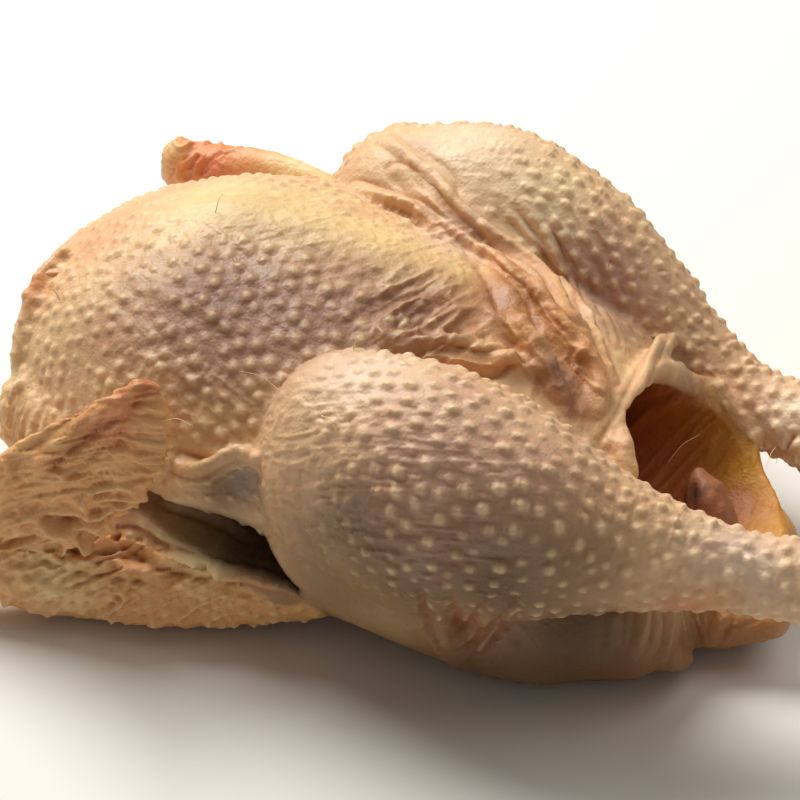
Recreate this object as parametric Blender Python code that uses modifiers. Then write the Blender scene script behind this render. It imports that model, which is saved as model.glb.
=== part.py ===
"""A whole raw chicken lying on its back: trunk, folded wings, legs, tail and the open body cavity, as one solid."""

import math

import bmesh
import bpy
import numpy as np

MM = 0.001

# Sizes below are in millimetres: +X from the neck end to the tail, +Y to the bird's left, +Z up.
TABLE_LEVEL = 1.2
CENTRE_X = 28.9
CENTRE_Y = 0.0

FIRST_VOXEL = 2.4
SECOND_VOXEL = 2.2
SMOOTH_PASSES = 5
KEPT_SHARE = 0.103

SECTION_SIDES = 48
DOME_RINGS = 7
LOFT_RINGS = 36

# Trunk stations: x, half width, top of the breast, widest level, underside.
TRUNK = (
    (-116, 9, 58, 50, 41),
    (-112, 25, 70, 49, 27),
    (-103, 39, 81, 48, 15),
    (-89, 51, 91, 47, 6),
    (-71, 61, 98.5, 46, 2.2),
    (-50, 69, 103, 44, 0.8),
    (-26, 71, 102, 41, 0),
    (0, 71, 98, 37, 0),
    (28, 71, 91, 30, 0),
    (55, 69, 81, 25, 0),
    (78, 62, 67, 22, 1),
    (98, 51, 50, 20, 2.5),
    (112, 38, 39, 19, 4),
    (121, 24, 31, 18, 7),
)
BREAST_ROUNDNESS = 2.25
BACK_ROUNDNESS = 2.8
KEEL_HEIGHT = 3.5
KEEL_HALF_WIDTH = 13.0
KEEL_START = -84.0
KEEL_END = 80.0

# Limb stations: x, y, z, half width, half height.
NEAR_DRUMSTICK = (
    (17, -57, 63, 28, 36),
    (42, -61, 65, 31, 38),
    (67, -62, 64, 28, 32),
    (92, -59, 60, 20, 22),
    (114, -55, 57, 14, 15),
    (134, -51, 55, 11.2, 11.5),
    (148, -48, 54, 12, 12),
    (160, -46, 53, 14, 13.5),
    (166, -46, 53, 12.5, 12),
)
NEAR_THIGH = (
    (92, -38, 20, 22, 19),
    (66, -46, 24, 27, 24),
    (42, -50, 34, 29, 29),
    (18, -53, 47, 29, 34),
)
FAR_DRUMSTICK = (
    (-12, 60, 73, 29, 33),
    (12, 63, 75, 31, 34),
    (36, 63, 69, 27, 30),
    (60, 60, 58, 21, 23),
    (82, 55, 48, 15, 16),
    (102, 49, 42, 12, 12.5),
    (122, 45, 40, 12, 12),
    (134, 43, 39, 14.5, 14),
    (140, 42, 38, 13, 12.5),
)
FAR_THIGH = (
    (84, 38, 22, 22, 21),
    (54, 46, 30, 28, 29),
    (24, 54, 46, 30, 37),
    (-4, 58, 62, 30, 35),
)
NEAR_UPPER_WING = (
    (-92, -42, 44, 15, 18),
    (-68, -54, 43, 14, 17),
    (-42, -62, 35, 12, 14),
    (-18, -64, 29, 11, 13),
    (-2, -63, 24, 10, 11),
)
NEAR_FOREARM = (
    (4, -62, 20, 8, 10),
    (-20, -67, 18, 11, 13),
    (-52, -75, 17, 12, 14),
    (-82, -82, 18, 11, 14),
    (-100, -85, 22, 9, 12),
)
NEAR_HAND = (
    (-102, -86, 26, 7, 12),
    (-82, -84, 40, 5.5, 16),
    (-57, -83, 61, 4.5, 16),
    (-41, -81, 81, 4, 11),
    (-36, -80, 91, 3.5, 5),
)
FAR_UPPER_WING = (
    (-72, 54, 50, 14, 15),
    (-46, 62, 44, 12, 14),
    (-22, 66, 38, 11, 13),
    (-6, 68, 33, 10, 11),
)
FAR_FOREARM = (
    (-4, 70, 31, 8, 10),
    (-28, 74, 38, 11, 12),
    (-58, 78, 47, 11, 13),
    (-86, 80, 57, 9, 11),
    (-102, 79, 64, 8, 9),
)
FAR_HAND = (
    (-104, 78, 66, 8, 9),
    (-88, 78, 68, 8, 9),
    (-66, 76, 70, 6, 9),
    (-40, 71, 69, 5, 7),
)
TAIL = (
    (92, -6, 16, 34, 15),
    (112, -13, 15, 27, 13),
    (126, -20, 16, 16, 9),
    (134, -24, 18, 6, 5),
)
NEAR_KNEE_WEB = (
    (-40, -55, 52, 9, 13),
    (-20, -58, 54, 9, 15),
    (4, -60, 58, 12, 20),
)
FAR_KNEE_WEB = (
    (-62, 54, 58, 9, 12),
    (-42, 57, 62, 9, 14),
    (-18, 60, 66, 12, 18),
)
CAVITY = (
    (-34, 0, 46, 20, 15),
    (-10, 0, 47, 30, 23),
    (30, 0, 45, 34, 27),
    (66, 1, 42, 32, 26),
    (96, 3, 45, 28, 22),
    (122, 5, 56, 29, 23),
    (150, 7, 68, 30, 24),
)
FAT_LEAF = (
    (118, -3, 24, 15, 6),
    (109, -4, 33, 12, 4),
    (101, -5, 42, 8, 3),
)

# Rolls and folds of loose skin: a radius, then the line each follows.
SKIN_ROLLS = {
    "neck_skin_edge": (4.0, ((-103, -42, 48), (-104, -34, 66), (-103, -18, 78), (-102, 0, 82), (-104, 14, 76))),
    "keel_side_fold": (4.6, ((20, 32, 88), (39, 20, 87), (55, 9, 83), (68, 0, 75), (77, -16, 66))),
    "belly_fold": (4.2, ((28, -3, 90), (44, -6, 87), (58, -12, 80), (68, -20, 72))),
    "leg_crease_roll": (4.2, ((12, -30, 92), (35, -22, 88), (46, -18, 86), (58, -16, 81))),
    "far_leg_fold": (4.0, ((-10, 48, 104), (4, 40, 100), (19, 36, 93), (33, 34, 86), (54, 18, 82))),
    "far_leg_lower_fold": (3.6, ((-22, 40, 96), (2, 37, 98), (19, 31, 91), (44, 21, 86), (64, 8, 78))),
    "knee_web_ridge": (4.2, ((-42, -66, 56), (-28, -70, 57), (-16, -70, 66), (-4, -71, 71))),
    "taut_skin_edge": (3.2, ((80, 46, 66), (79, 20, 67), (77, -16, 67))),
    "near_hip_fold": (5.0, ((44, -73, 44), (50, -74, 26), (56, -71, 14))),
    "tail_root_fold": (4.6, ((104, -50, 26), (109, -45, 14), (112, -35, 6))),
}
ROLL_END_SHARE = 0.45
ROLL_SIDES = 4

MOUTH_CENTRE = (99, 4, 47)
MOUTH_TILT = math.radians(44)
MOUTH_HALF_WIDTH = 33.0
MOUTH_HALF_LENGTH = 29.0
LIP_RADIUS = 5.2
LIP_WAVE = 1.8
LIP_WAVES = 5
LIP_POINTS = 40

# Rounded knuckles at the cut hocks: x, y, z, radius.
KNUCKLES = (
    (170, -52, 51, 9.5),
    (171, -41, 55, 9.5),
    (144, 37, 36, 9.5),
    (145, 47, 40, 9.5),
)


def clear_scene():
    for thing in list(bpy.data.objects):
        bpy.data.objects.remove(thing)
    for group in list(bpy.data.collections):
        bpy.data.collections.remove(group)


def smooth_rows(rows, count):
    """Rows eased along their length by cubic pieces, at even steps."""
    rows = np.asarray(rows, float)
    run = np.concatenate([[0.0], np.cumsum(np.linalg.norm(np.diff(rows[:, :3], axis=0), axis=1))])
    slope = np.gradient(rows, run, axis=0)
    at = np.linspace(0.0, run[-1], count)
    low = np.clip(np.searchsorted(run, at, side="right") - 1, 0, len(run) - 2)
    gap = (run[low + 1] - run[low])[:, None]
    u = (at - run[low])[:, None] / gap
    from_low = (2 * u**3 - 3 * u**2 + 1) * rows[low] + (u**3 - 2 * u**2 + u) * slope[low] * gap
    from_high = (3 * u**2 - 2 * u**3) * rows[low + 1] + (u**3 - u**2) * slope[low + 1] * gap
    return from_low + from_high


def domed(rows, reach):
    """Rows with a round dome added at each end, and the share of full size at every row."""
    along = np.gradient(rows[:, :3], axis=0)
    along /= np.linalg.norm(along, axis=1)[:, None]
    angle = np.linspace(0.0, math.pi / 2, DOME_RINGS + 1)[1:] * 0.97
    first = np.repeat(rows[:1], DOME_RINGS, axis=0)
    last = np.repeat(rows[-1:], DOME_RINGS, axis=0)
    first[:, :3] -= along[0] * (reach[0] * np.sin(angle))[:, None]
    last[:, :3] += along[-1] * (reach[1] * np.sin(angle))[:, None]
    first_along = np.repeat(along[:1], DOME_RINGS, axis=0)
    last_along = np.repeat(along[-1:], DOME_RINGS, axis=0)
    share = np.concatenate([np.cos(angle)[::-1], np.ones(len(rows)), np.cos(angle)])
    whole = np.concatenate([first[::-1], rows, last])
    return whole, np.concatenate([first_along, along, last_along]), share


def limb_rings(rows):
    """Elliptical sections square to the limb's own line."""
    rows = smooth_rows(rows, LOFT_RINGS)
    reach = (min(rows[0, 3:5]), min(rows[-1, 3:5]))
    rows, along, share = domed(rows, reach)
    across = np.cross(along, (0.0, 0.0, 1.0))
    across /= np.linalg.norm(across, axis=1)[:, None]
    up = np.cross(across, along)
    turn = np.linspace(0.0, 2 * math.pi, SECTION_SIDES, endpoint=False)
    wide = (rows[:, 3] * share)[:, None, None] * np.cos(turn)[None, :, None] * across[:, None, :]
    tall = (rows[:, 4] * share)[:, None, None] * np.sin(turn)[None, :, None] * up[:, None, :]
    return rows[:, None, :3] + wide + tall


def trunk_rings():
    """Upright sections, rounder over the breast than under the back, with the breastbone's ridge on top."""
    table = np.asarray(TRUNK, float)
    rows = np.stack([table[:, 0], table[:, 0] * 0, table[:, 3], table[:, 1], table[:, 2], table[:, 4]], axis=1)
    rows = smooth_rows(rows, LOFT_RINGS * 2)
    rows, _, share = domed(rows, (rows[0, 3] * 0.6, rows[-1, 3] * 0.5))
    turn = np.linspace(0.0, 2 * math.pi, SECTION_SIDES * 2, endpoint=False)
    cos, sin = np.cos(turn), np.sin(turn)
    roundness = np.where(sin > 0, BREAST_ROUNDNESS, BACK_ROUNDNESS)
    side = np.sign(cos) * np.abs(cos) ** (2 / roundness)
    lift = np.sign(sin) * np.abs(sin) ** (2 / roundness)
    above = rows[:, 4] - rows[:, 2]
    below = rows[:, 2] - rows[:, 5]
    height = np.where(sin[None, :] > 0, above[:, None], below[:, None])
    rings = np.empty((len(rows), len(turn), 3))
    rings[..., 0] = rows[:, :1]
    rings[..., 1] = (rows[:, 3] * share)[:, None] * side
    rings[..., 2] = rows[:, 2:3] + height * share[:, None] * lift
    part_way = np.clip((rows[:, 0] - KEEL_START) / (KEEL_END - KEEL_START), 0.0, 1.0)
    ridge = np.sin(math.pi * part_way)[:, None] ** 0.6 * np.exp(-((rings[..., 1] / KEEL_HALF_WIDTH) ** 2))
    rings[..., 2] += KEEL_HEIGHT * ridge * (sin[None, :] > 0)
    return rings


def loft(rings):
    """A closed mesh through the rings, with a flat cap on each end."""
    count, sides = rings.shape[:2]
    shape = bmesh.new()
    points = [[shape.verts.new(tuple(place * MM)) for place in ring] for ring in rings]
    for i in range(count - 1):
        for j in range(sides):
            k = (j + 1) % sides
            shape.faces.new((points[i][j], points[i][k], points[i + 1][k], points[i + 1][j]))
    shape.faces.new(points[0])
    shape.faces.new(points[-1])
    bmesh.ops.recalc_face_normals(shape, faces=shape.faces)
    mesh = bpy.data.meshes.new("loft")
    shape.to_mesh(mesh)
    shape.free()
    return mesh


def tube(name, points, radii, closed):
    """A round tube of changing radius along a smooth curve."""
    curve = bpy.data.curves.new(name, "CURVE")
    curve.dimensions = "3D"
    curve.bevel_depth = MM
    curve.bevel_resolution = ROLL_SIDES
    curve.resolution_u = ROLL_SIDES
    curve.use_fill_caps = True
    line = curve.splines.new("NURBS")
    line.points.add(len(points) - 1)
    for knot, place, radius in zip(line.points, points, radii):
        knot.co = (place[0] * MM, place[1] * MM, place[2] * MM, 1.0)
        knot.radius = radius
    line.use_cyclic_u = closed
    line.use_endpoint_u = not closed
    line.order_u = 4
    holder = bpy.data.objects.new(name, curve)
    bpy.context.scene.collection.objects.link(holder)
    bpy.context.view_layer.update()
    mesh = bpy.data.meshes.new_from_object(holder.evaluated_get(bpy.context.evaluated_depsgraph_get()))
    bpy.data.objects.remove(holder)
    return mesh


def skin_roll(name):
    radius, points = SKIN_ROLLS[name]
    share = np.sin(np.linspace(0.0, math.pi, len(points)))
    radii = radius * (ROLL_END_SHARE + (1 - ROLL_END_SHARE) * share)
    return tube(name, points, radii, False)


def mouth_lip():
    """The rolled, wavy edge of skin and fat round the cavity's mouth."""
    turn = np.linspace(0.0, 2 * math.pi, LIP_POINTS, endpoint=False)
    slope = np.array((math.sin(MOUTH_TILT), 0.0, -math.cos(MOUTH_TILT)))
    outward = np.array((math.cos(MOUTH_TILT), 0.0, math.sin(MOUTH_TILT)))
    wave = LIP_WAVE * np.sin(LIP_WAVES * turn + 0.7)
    places = np.asarray(MOUTH_CENTRE) + (MOUTH_HALF_LENGTH + 0.4 * wave)[:, None] * np.cos(turn)[:, None] * slope
    places[:, 1] += (MOUTH_HALF_WIDTH + 0.4 * wave) * np.sin(turn)
    places += (wave - 1.0)[:, None] * outward
    radii = LIP_RADIUS * (1 + 0.16 * np.sin(3 * turn + 1.1))
    return tube("mouth_lip", places, radii, True)


def knuckle(x, y, z, radius):
    ball = bmesh.new()
    bmesh.ops.create_icosphere(ball, subdivisions=3, radius=radius * MM)
    bmesh.ops.translate(ball, vec=(x * MM, y * MM, z * MM), verts=ball.verts)
    mesh = bpy.data.meshes.new("knuckle")
    ball.to_mesh(mesh)
    ball.free()
    return mesh


def joined(name, meshes, group):
    """One object holding all these closed meshes, overlapping where the flesh grows together."""
    shape = bmesh.new()
    for mesh in meshes:
        shape.from_mesh(mesh)
        bpy.data.meshes.remove(mesh)
    whole = bpy.data.meshes.new(name)
    shape.to_mesh(whole)
    shape.free()
    thing = bpy.data.objects.new(name, whole)
    group.objects.link(thing)
    return thing


def table_block(group):
    """A block whose top is the level that the bird rests on."""
    block = bmesh.new()
    bmesh.ops.create_cube(block, size=1.0)
    mesh = bpy.data.meshes.new("table_block")
    bmesh.ops.scale(block, vec=(0.6, 0.4, 0.04), verts=block.verts)
    bmesh.ops.translate(block, vec=(CENTRE_X * MM, 0.0, TABLE_LEVEL * MM - 0.02), verts=block.verts)
    block.to_mesh(mesh)
    block.free()
    thing = bpy.data.objects.new("table_block", mesh)
    group.objects.link(thing)
    return thing


def add_boolean(thing, name, other, operation):
    step = thing.modifiers.new(name, "BOOLEAN")
    step.operation = operation
    step.solver = "EXACT"
    step.object = other


def add_remesh(thing, name, voxel):
    step = thing.modifiers.new(name, "REMESH")
    step.mode = "VOXEL"
    step.voxel_size = voxel * MM
    step.adaptivity = 0.0


def add_smooth(thing, name, passes):
    step = thing.modifiers.new(name, "SMOOTH")
    step.factor = 0.5
    step.iterations = passes


def skin_material():
    skin = bpy.data.materials.new("chicken_skin")
    skin.use_nodes = True
    surface = skin.node_tree.nodes["Principled BSDF"]
    surface.inputs["Base Color"].default_value = (0.62, 0.43, 0.27, 1.0)
    surface.inputs["Roughness"].default_value = 0.45
    surface.inputs["Metallic"].default_value = 0.0
    return skin


def build():
    clear_scene()
    bird_group = bpy.data.collections.new("raw_chicken")
    cutter_group = bpy.data.collections.new("cutters")
    for group in (bird_group, cutter_group):
        bpy.context.scene.collection.children.link(group)
    cutter_group.hide_render = True
    limbs = (
        NEAR_DRUMSTICK,
        NEAR_THIGH,
        FAR_DRUMSTICK,
        FAR_THIGH,
        NEAR_UPPER_WING,
        NEAR_FOREARM,
        NEAR_HAND,
        FAR_UPPER_WING,
        FAR_FOREARM,
        FAR_HAND,
        TAIL,
        NEAR_KNEE_WEB,
        FAR_KNEE_WEB,
    )
    pieces = [loft(trunk_rings()), mouth_lip()]
    pieces += [loft(limb_rings(rows)) for rows in limbs]
    pieces += [skin_roll(name) for name in SKIN_ROLLS]
    pieces += [knuckle(*sizes) for sizes in KNUCKLES]
    chicken = joined("chicken", pieces, bird_group)
    cavity = joined("cavity_cutter", [loft(limb_rings(CAVITY))], cutter_group)
    leaf = joined("fat_leaf", [loft(limb_rings(FAT_LEAF))], cutter_group)
    table = table_block(cutter_group)
    for helper in (cavity, leaf, table):
        helper.hide_render = True
        helper.display_type = "WIRE"
    add_remesh(chicken, "grow_together", FIRST_VOXEL)
    add_boolean(chicken, "body_cavity", cavity, "DIFFERENCE")
    add_boolean(chicken, "fat_leaf", leaf, "UNION")
    add_remesh(chicken, "even_surface", SECOND_VOXEL)
    add_smooth(chicken, "soften", SMOOTH_PASSES)
    thin = chicken.modifiers.new("fewer_faces", "DECIMATE")
    thin.ratio = KEPT_SHARE
    thin.use_collapse_triangulate = True
    add_boolean(chicken, "resting_flat", table, "DIFFERENCE")
    chicken.data.materials.append(skin_material())
    for face in chicken.data.polygons:
        face.use_smooth = True
    for thing in (chicken, cavity, leaf, table):
        thing.location = (-CENTRE_X * MM, -CENTRE_Y * MM, -TABLE_LEVEL * MM)


build()
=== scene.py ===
import bpy
import math
import numpy as np
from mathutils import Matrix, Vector


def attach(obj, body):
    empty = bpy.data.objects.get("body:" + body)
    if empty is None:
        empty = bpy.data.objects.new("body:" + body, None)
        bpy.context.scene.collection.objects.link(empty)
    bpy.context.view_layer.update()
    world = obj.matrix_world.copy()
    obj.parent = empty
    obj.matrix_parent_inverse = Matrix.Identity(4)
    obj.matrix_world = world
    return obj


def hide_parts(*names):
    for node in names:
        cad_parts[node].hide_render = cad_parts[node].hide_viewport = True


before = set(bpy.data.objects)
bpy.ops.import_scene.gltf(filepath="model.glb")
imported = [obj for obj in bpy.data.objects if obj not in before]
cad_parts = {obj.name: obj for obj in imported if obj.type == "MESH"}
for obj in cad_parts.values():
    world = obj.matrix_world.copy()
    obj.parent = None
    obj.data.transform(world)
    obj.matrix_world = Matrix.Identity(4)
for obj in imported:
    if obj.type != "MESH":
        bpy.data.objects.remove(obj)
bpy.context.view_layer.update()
print("frame in place")

# every form below is in millimetres: +x neck to tail, +y to the bird's left, +z up
place = {"centre": (28.9, 0.0), "tableLevel": 1.2}
toRow = np.array([*place["centre"], place["tableLevel"]])  # taken off to reach the part's own frame

camera = {
    "azimuth": 22.0,
    "elevation": 34.0,
    "distance": 850.0,
    "lookAt": (20.0, 0.0, 52.0),
    "lookAtPixel": (440.0, 400.0),
    "pixelsAcross": 800.0,
    "focalPixels": 2805.0,
    "sensorWidth": 36.0,
    "clip": (0.05, 20.0),  # metres
}

fineness = {
    "firstVoxel": 1.2,
    "secondVoxel": 0.66,
    "quickVoxel": 1.1,
    "settlePasses": 8,
    "limbRings": 90,
    "limbSides": 96,
    "domeRings": 10,
    "domeClose": 0.985,  # share of a quarter circle, so that the last ring stays open
    "placeRows": 56,
}
skinVoxel = fineness["secondVoxel"]

trunk = {
    # x, half width, top of the breast, widest level, underside
    "stations": [
        (-116, 9, 58, 50, 41),
        (-112, 25, 70, 49, 27),
        (-103, 39, 81, 48, 15),
        (-89, 51, 91, 47, 6),
        (-71, 61, 98.5, 46, 2.2),
        (-50, 69, 103, 44, 0.8),
        (-26, 71, 102, 41, 0),
        (0, 71, 98, 37, 0),
        (28, 71, 91, 30, 0),
        (55, 69, 81, 25, 0),
        (78, 62, 67, 22, 1),
        (98, 51, 50, 20, 2.5),
        (112, 38, 39, 19, 4),
        (121, 24, 31, 18, 7),
    ],
    "breastRoundness": 2.25,
    "backRoundness": 2.8,
    "keelHeight": 3.5,
    "keelHalfWidth": 13.0,
    "keelRange": (-84.0, 80.0),
    "keelPower": 0.6,
    "domeShares": (0.6, 0.5),  # of the half width, at the neck and at the tail
    "neckRound": (-60.0, 58.0),  # where the round neck end begins, and its radius
    "runStart": -150.0,
    "runLength": 280.0,
    "rings": 150,
    "sides": 180,
}

# x, y, z, half width, half height
limbs = {
    "nearDrumstick": [
        (17, -57, 63, 28, 36),
        (42, -61, 65, 31, 38),
        (67, -62, 64, 28, 32),
        (92, -59, 60, 20, 22),
        (114, -55, 57, 14, 15),
        (134, -51, 55, 11.2, 11.5),
        (148, -48, 54, 12, 12),
        (160, -46, 53, 14, 13.5),
        (166, -46, 53, 12.5, 12),
    ],
    "nearThigh": [(92, -38, 20, 22, 19), (66, -46, 24, 27, 24), (42, -50, 34, 29, 29), (18, -53, 47, 29, 34)],
    "farDrumstick": [
        (-12, 60, 73, 29, 33),
        (12, 63, 75, 31, 34),
        (36, 63, 69, 27, 30),
        (60, 60, 58, 21, 23),
        (82, 55, 48, 15, 16),
        (102, 49, 42, 12, 12.5),
        (122, 45, 40, 12, 12),
        (134, 43, 39, 14.5, 14),
        (140, 42, 38, 13, 12.5),
    ],
    "farThigh": [(84, 38, 22, 22, 21), (54, 46, 30, 28, 29), (24, 54, 46, 30, 37), (-4, 58, 62, 30, 35)],
    "nearUpperWing": [
        (-92, -42, 44, 15, 18),
        (-68, -54, 43, 14, 17),
        (-42, -62, 35, 12, 14),
        (-18, -64, 29, 11, 13),
        (-2, -63, 24, 10, 11),
    ],
    "nearForearm": [
        (4, -62, 20, 8, 10),
        (-20, -67, 18, 11, 13),
        (-52, -75, 17, 12, 14),
        (-82, -82, 18, 11, 14),
        (-100, -85, 22, 9, 12),
    ],
    "nearHand": [
        (-102, -86, 26, 7, 12),
        (-82, -84, 40, 5.5, 16),
        (-57, -83, 61, 4.5, 16),
        (-41, -81, 81, 4, 11),
        (-36, -80, 91, 3.5, 5),
    ],
    "farUpperWing": [
        (-72, 54, 50, 14, 15),
        (-46, 62, 44, 12, 14),
        (-22, 66, 38, 11, 13),
        (-6, 68, 33, 10, 11),
    ],
    "farForearm": [
        (-4, 70, 31, 8, 10),
        (-28, 74, 38, 11, 12),
        (-58, 78, 47, 11, 13),
        (-86, 80, 57, 9, 11),
        (-102, 79, 64, 8, 9),
    ],
    "farHand": [(-104, 78, 66, 8, 9), (-88, 78, 68, 8, 9), (-66, 76, 70, 6, 9), (-40, 71, 69, 5, 7)],
    "tail": [(92, -6, 16, 34, 15), (112, -13, 15, 27, 13), (126, -20, 16, 16, 9), (134, -24, 18, 6, 5)],
    "nearWeb": [(-40, -55, 52, 9, 13), (-20, -58, 54, 9, 15), (4, -60, 58, 12, 20)],
    "farWeb": [(-62, 54, 58, 9, 12), (-42, 57, 62, 9, 14), (-18, 60, 66, 12, 18)],
    "nearElbowSkin": [(-66, -68, 30, 9, 11), (-44, -68, 28, 7, 10), (-22, -67, 25, 6, 8)],
}

cavity = {
    "stations": [
        (-34, 0, 46, 20, 15),
        (-10, 0, 47, 30, 23),
        (30, 0, 45, 34, 27),
        (66, 1, 42, 32, 26),
        (96, 0, 44, 33, 23.5),
        (122, 1, 54, 36, 26.5),
        (150, 3, 66, 38, 28),
    ],
    "leafCentre": (106.5, 0.0, 33.5),
    "leafSize": (7.4, 12.5, 9.0),  # across, up and toward the camera
    "leafLean": 0.45,
    "leafTaper": 0.2,
    "wingSlot": [
        (-47, -70, 44, 10, 3),
        (-36, -69, 41, 14, 5),
        (-24, -68, 39.5, 16, 6.5),
        (-12, -68, 38, 16, 6.5),
        (-2, -69, 35.5, 14, 5.5),
        (6, -71, 31.5, 9, 3.5),
    ],
    "mouthCentre": (99.0, 4.0, 47.0),
    "mouthTilt": 44.0,
    "mouthHalfWidth": 33.0,
    "mouthHalfLength": 29.0,
    "lipRadius": 5.2,
    "lipWave": 1.8,
}

# radius, then the line that each roll of skin follows; ends taper away
rolls = {
    "neckEdge": (4.4, [(-100, -44, 48), (-101, -36, 66), (-100, -20, 78), (-99, 0, 82), (-101, 14, 76)]),
    "neckFlap": (2.4, [(-98, -40, 62), (-101, -33, 74), (-101, -24, 82), (-97, -13, 88)]),
    "keelSideFold": (4.4, [(20, 32, 88), (39, 20, 87), (55, 9, 83), (68, 0, 75), (77, -16, 66)]),
    "bellyFold": (4.0, [(28, -3, 90), (44, -6, 87), (58, -12, 80), (68, -20, 72)]),
    "legCreaseRoll": (3.4, [(12, -30, 92), (35, -22, 88), (46, -18, 86), (58, -16, 81)]),
    "farLegFold": (3.6, [(-10, 48, 104), (4, 40, 100), (19, 36, 93), (33, 34, 86), (54, 18, 82)]),
    "farLegLowerFold": (5.0, [(-24, 40, 93), (2, 37, 94), (19, 31, 88), (44, 21, 84), (64, 8, 77)]),
    "farLegRoot": (7.0, [(-34, 44, 86), (-10, 44, 90), (14, 38, 86), (36, 30, 80)]),
    "kneeWebRidge": (3.6, [(-42, -66, 56), (-28, -70, 57), (-16, -70, 66), (-4, -71, 71)]),
    "tautSkinEdge": (2.8, [(80, 50, 58), (80, 38, 65), (79, 20, 67), (77, -16, 67)]),
    "nearHipFold": (5.0, [(44, -73, 44), (50, -74, 26), (56, -71, 14)]),
    "tailRootFold": (4.6, [(104, -50, 26), (109, -45, 14), (112, -35, 6)]),
}

# x, y, z, radius of the lumps at the far wing's end
farWingLumps = [(-104, 76, 71, 6.5), (-96, 78, 67, 7.5), (-88, 78, 69, 8.0), (-74, 77, 70, 5.5)]

# x, y, z, radius of the round knuckles at the cut hocks
knuckles = [(170, -52, 51, 9.5), (171, -41, 55, 9.5), (144, 37, 36, 9.5), (145, 47, 40, 9.5)]


# small number tools, all on whole arrays


def easedRows(rows, count):
    # cubic pieces through the rows, with slopes taken from their neighbours, at even steps of length
    rows = np.asarray(rows, float)
    run = np.concatenate([[0.0], np.cumsum(np.linalg.norm(np.diff(rows[:, :3], axis=0), axis=1))])
    slope = np.gradient(rows, run, axis=0)
    at = np.linspace(0.0, run[-1], count)
    low = np.clip(np.searchsorted(run, at, side="right") - 1, 0, len(run) - 2)
    gap = (run[low + 1] - run[low])[:, None]
    u = (at - run[low])[:, None] / gap
    start = (2 * u**3 - 3 * u**2 + 1) * rows[low] + (u**3 - 2 * u**2 + u) * slope[low] * gap
    end = (3 * u**2 - 2 * u**3) * rows[low + 1] + (u**3 - u**2) * slope[low + 1] * gap
    return start + end


def step01(value, low, high):
    # 0 below low, 1 above high, eased between
    share = np.clip((value - low) / (high - low), 0.0, 1.0)
    return share * share * (3 - 2 * share)


def hashed(a, b, c=0, seed=0):
    # whole numbers mixed into an even spread from 0 to 1, by the odd factors that such sums commonly use
    mixed = (np.asarray(a, np.int64) * 73856093) ^ (np.asarray(b, np.int64) * 19349663)
    mixed = mixed ^ (np.asarray(c, np.int64) * 83492791) ^ np.int64(seed * 2654435761 % 4294967296)
    mixed = (mixed ^ (mixed >> 15)) * 2246822519 & 0xFFFFFFFF
    mixed = (mixed ^ (mixed >> 13)) * 3266489917 & 0xFFFFFFFF
    return ((mixed ^ (mixed >> 16)) & 0xFFFFFF) / float(0xFFFFFF)


def noise(points, size, seed):
    # smooth random values from -1 to 1: hashed corners of a cube lattice, blended by eased shares
    spot = points / size
    cell = np.floor(spot).astype(np.int64)
    part = spot - cell
    part = part * part * part * (part * (part * 6 - 15) + 10)
    total = 0.0
    for corner in range(8):
        i, j, k = corner & 1, (corner >> 1) & 1, corner >> 2
        weight = (part[:, 0] if i else 1 - part[:, 0]) * (part[:, 1] if j else 1 - part[:, 1])
        weight = weight * (part[:, 2] if k else 1 - part[:, 2])
        total = total + weight * hashed(cell[:, 0] + i, cell[:, 1] + j, cell[:, 2] + k, seed)
    return total * 2 - 1


def layered(points, size, seed):
    # three noises, each half the size and half the strength of the last, over the sum of their strengths
    layers = [0.5**layer * noise(points, size / 2**layer, seed + layer * 17) for layer in range(3)]
    return sum(layers) / 1.75


def ridged(points, size, seed, width):
    # rounded ridges where a noise passes through zero, from -1 between them to 1 on top
    return 2 * np.exp(-((noise(points, size, seed) / width) ** 2)) - 1


# camera sums: the photograph's pixels to lines in space


def cameraAxes():
    a, e = math.radians(camera["azimuth"]), math.radians(camera["elevation"])
    right = np.array([math.cos(a), math.sin(a), 0.0])
    back = np.array([math.sin(a) * math.cos(e), -math.cos(a) * math.cos(e), math.sin(e)])
    return right, np.cross(back, right), back


def eyePoint():
    return np.array(camera["lookAt"]) + cameraAxes()[2] * camera["distance"]


def pixelDirection(pixel):
    right, up, back = cameraAxes()
    x = (pixel[0] - camera["lookAtPixel"][0]) / camera["focalPixels"]
    y = (camera["lookAtPixel"][1] - pixel[1]) / camera["focalPixels"]
    line = right * x + up * y - back
    return line / np.linalg.norm(line)


# forms: grids of points, rings by sides


def domedRows(rows, reach):
    # a quarter circle of shrinking rings added at each end
    along = np.gradient(rows[:, :3], axis=0)
    along /= np.linalg.norm(along, axis=1)[:, None]
    rings = fineness["domeRings"]
    angle = np.linspace(0.0, math.pi / 2, rings + 1)[1:] * fineness["domeClose"]
    first = np.repeat(rows[:1], rings, axis=0)
    last = np.repeat(rows[-1:], rings, axis=0)
    first[:, :3] -= along[0] * (reach[0] * np.sin(angle))[:, None]
    last[:, :3] += along[-1] * (reach[1] * np.sin(angle))[:, None]
    share = np.concatenate([np.cos(angle)[::-1], np.ones(len(rows)), np.cos(angle)])
    direction = np.concatenate([np.repeat(along[:1], rings, 0), along, np.repeat(along[-1:], rings, 0)])
    return np.concatenate([first[::-1], rows, last]), direction, share


def sectionAxes(direction):
    across = np.cross(direction, (0.0, 0.0, 1.0))
    across /= np.linalg.norm(across, axis=1)[:, None]
    return across, np.cross(across, direction)


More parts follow.
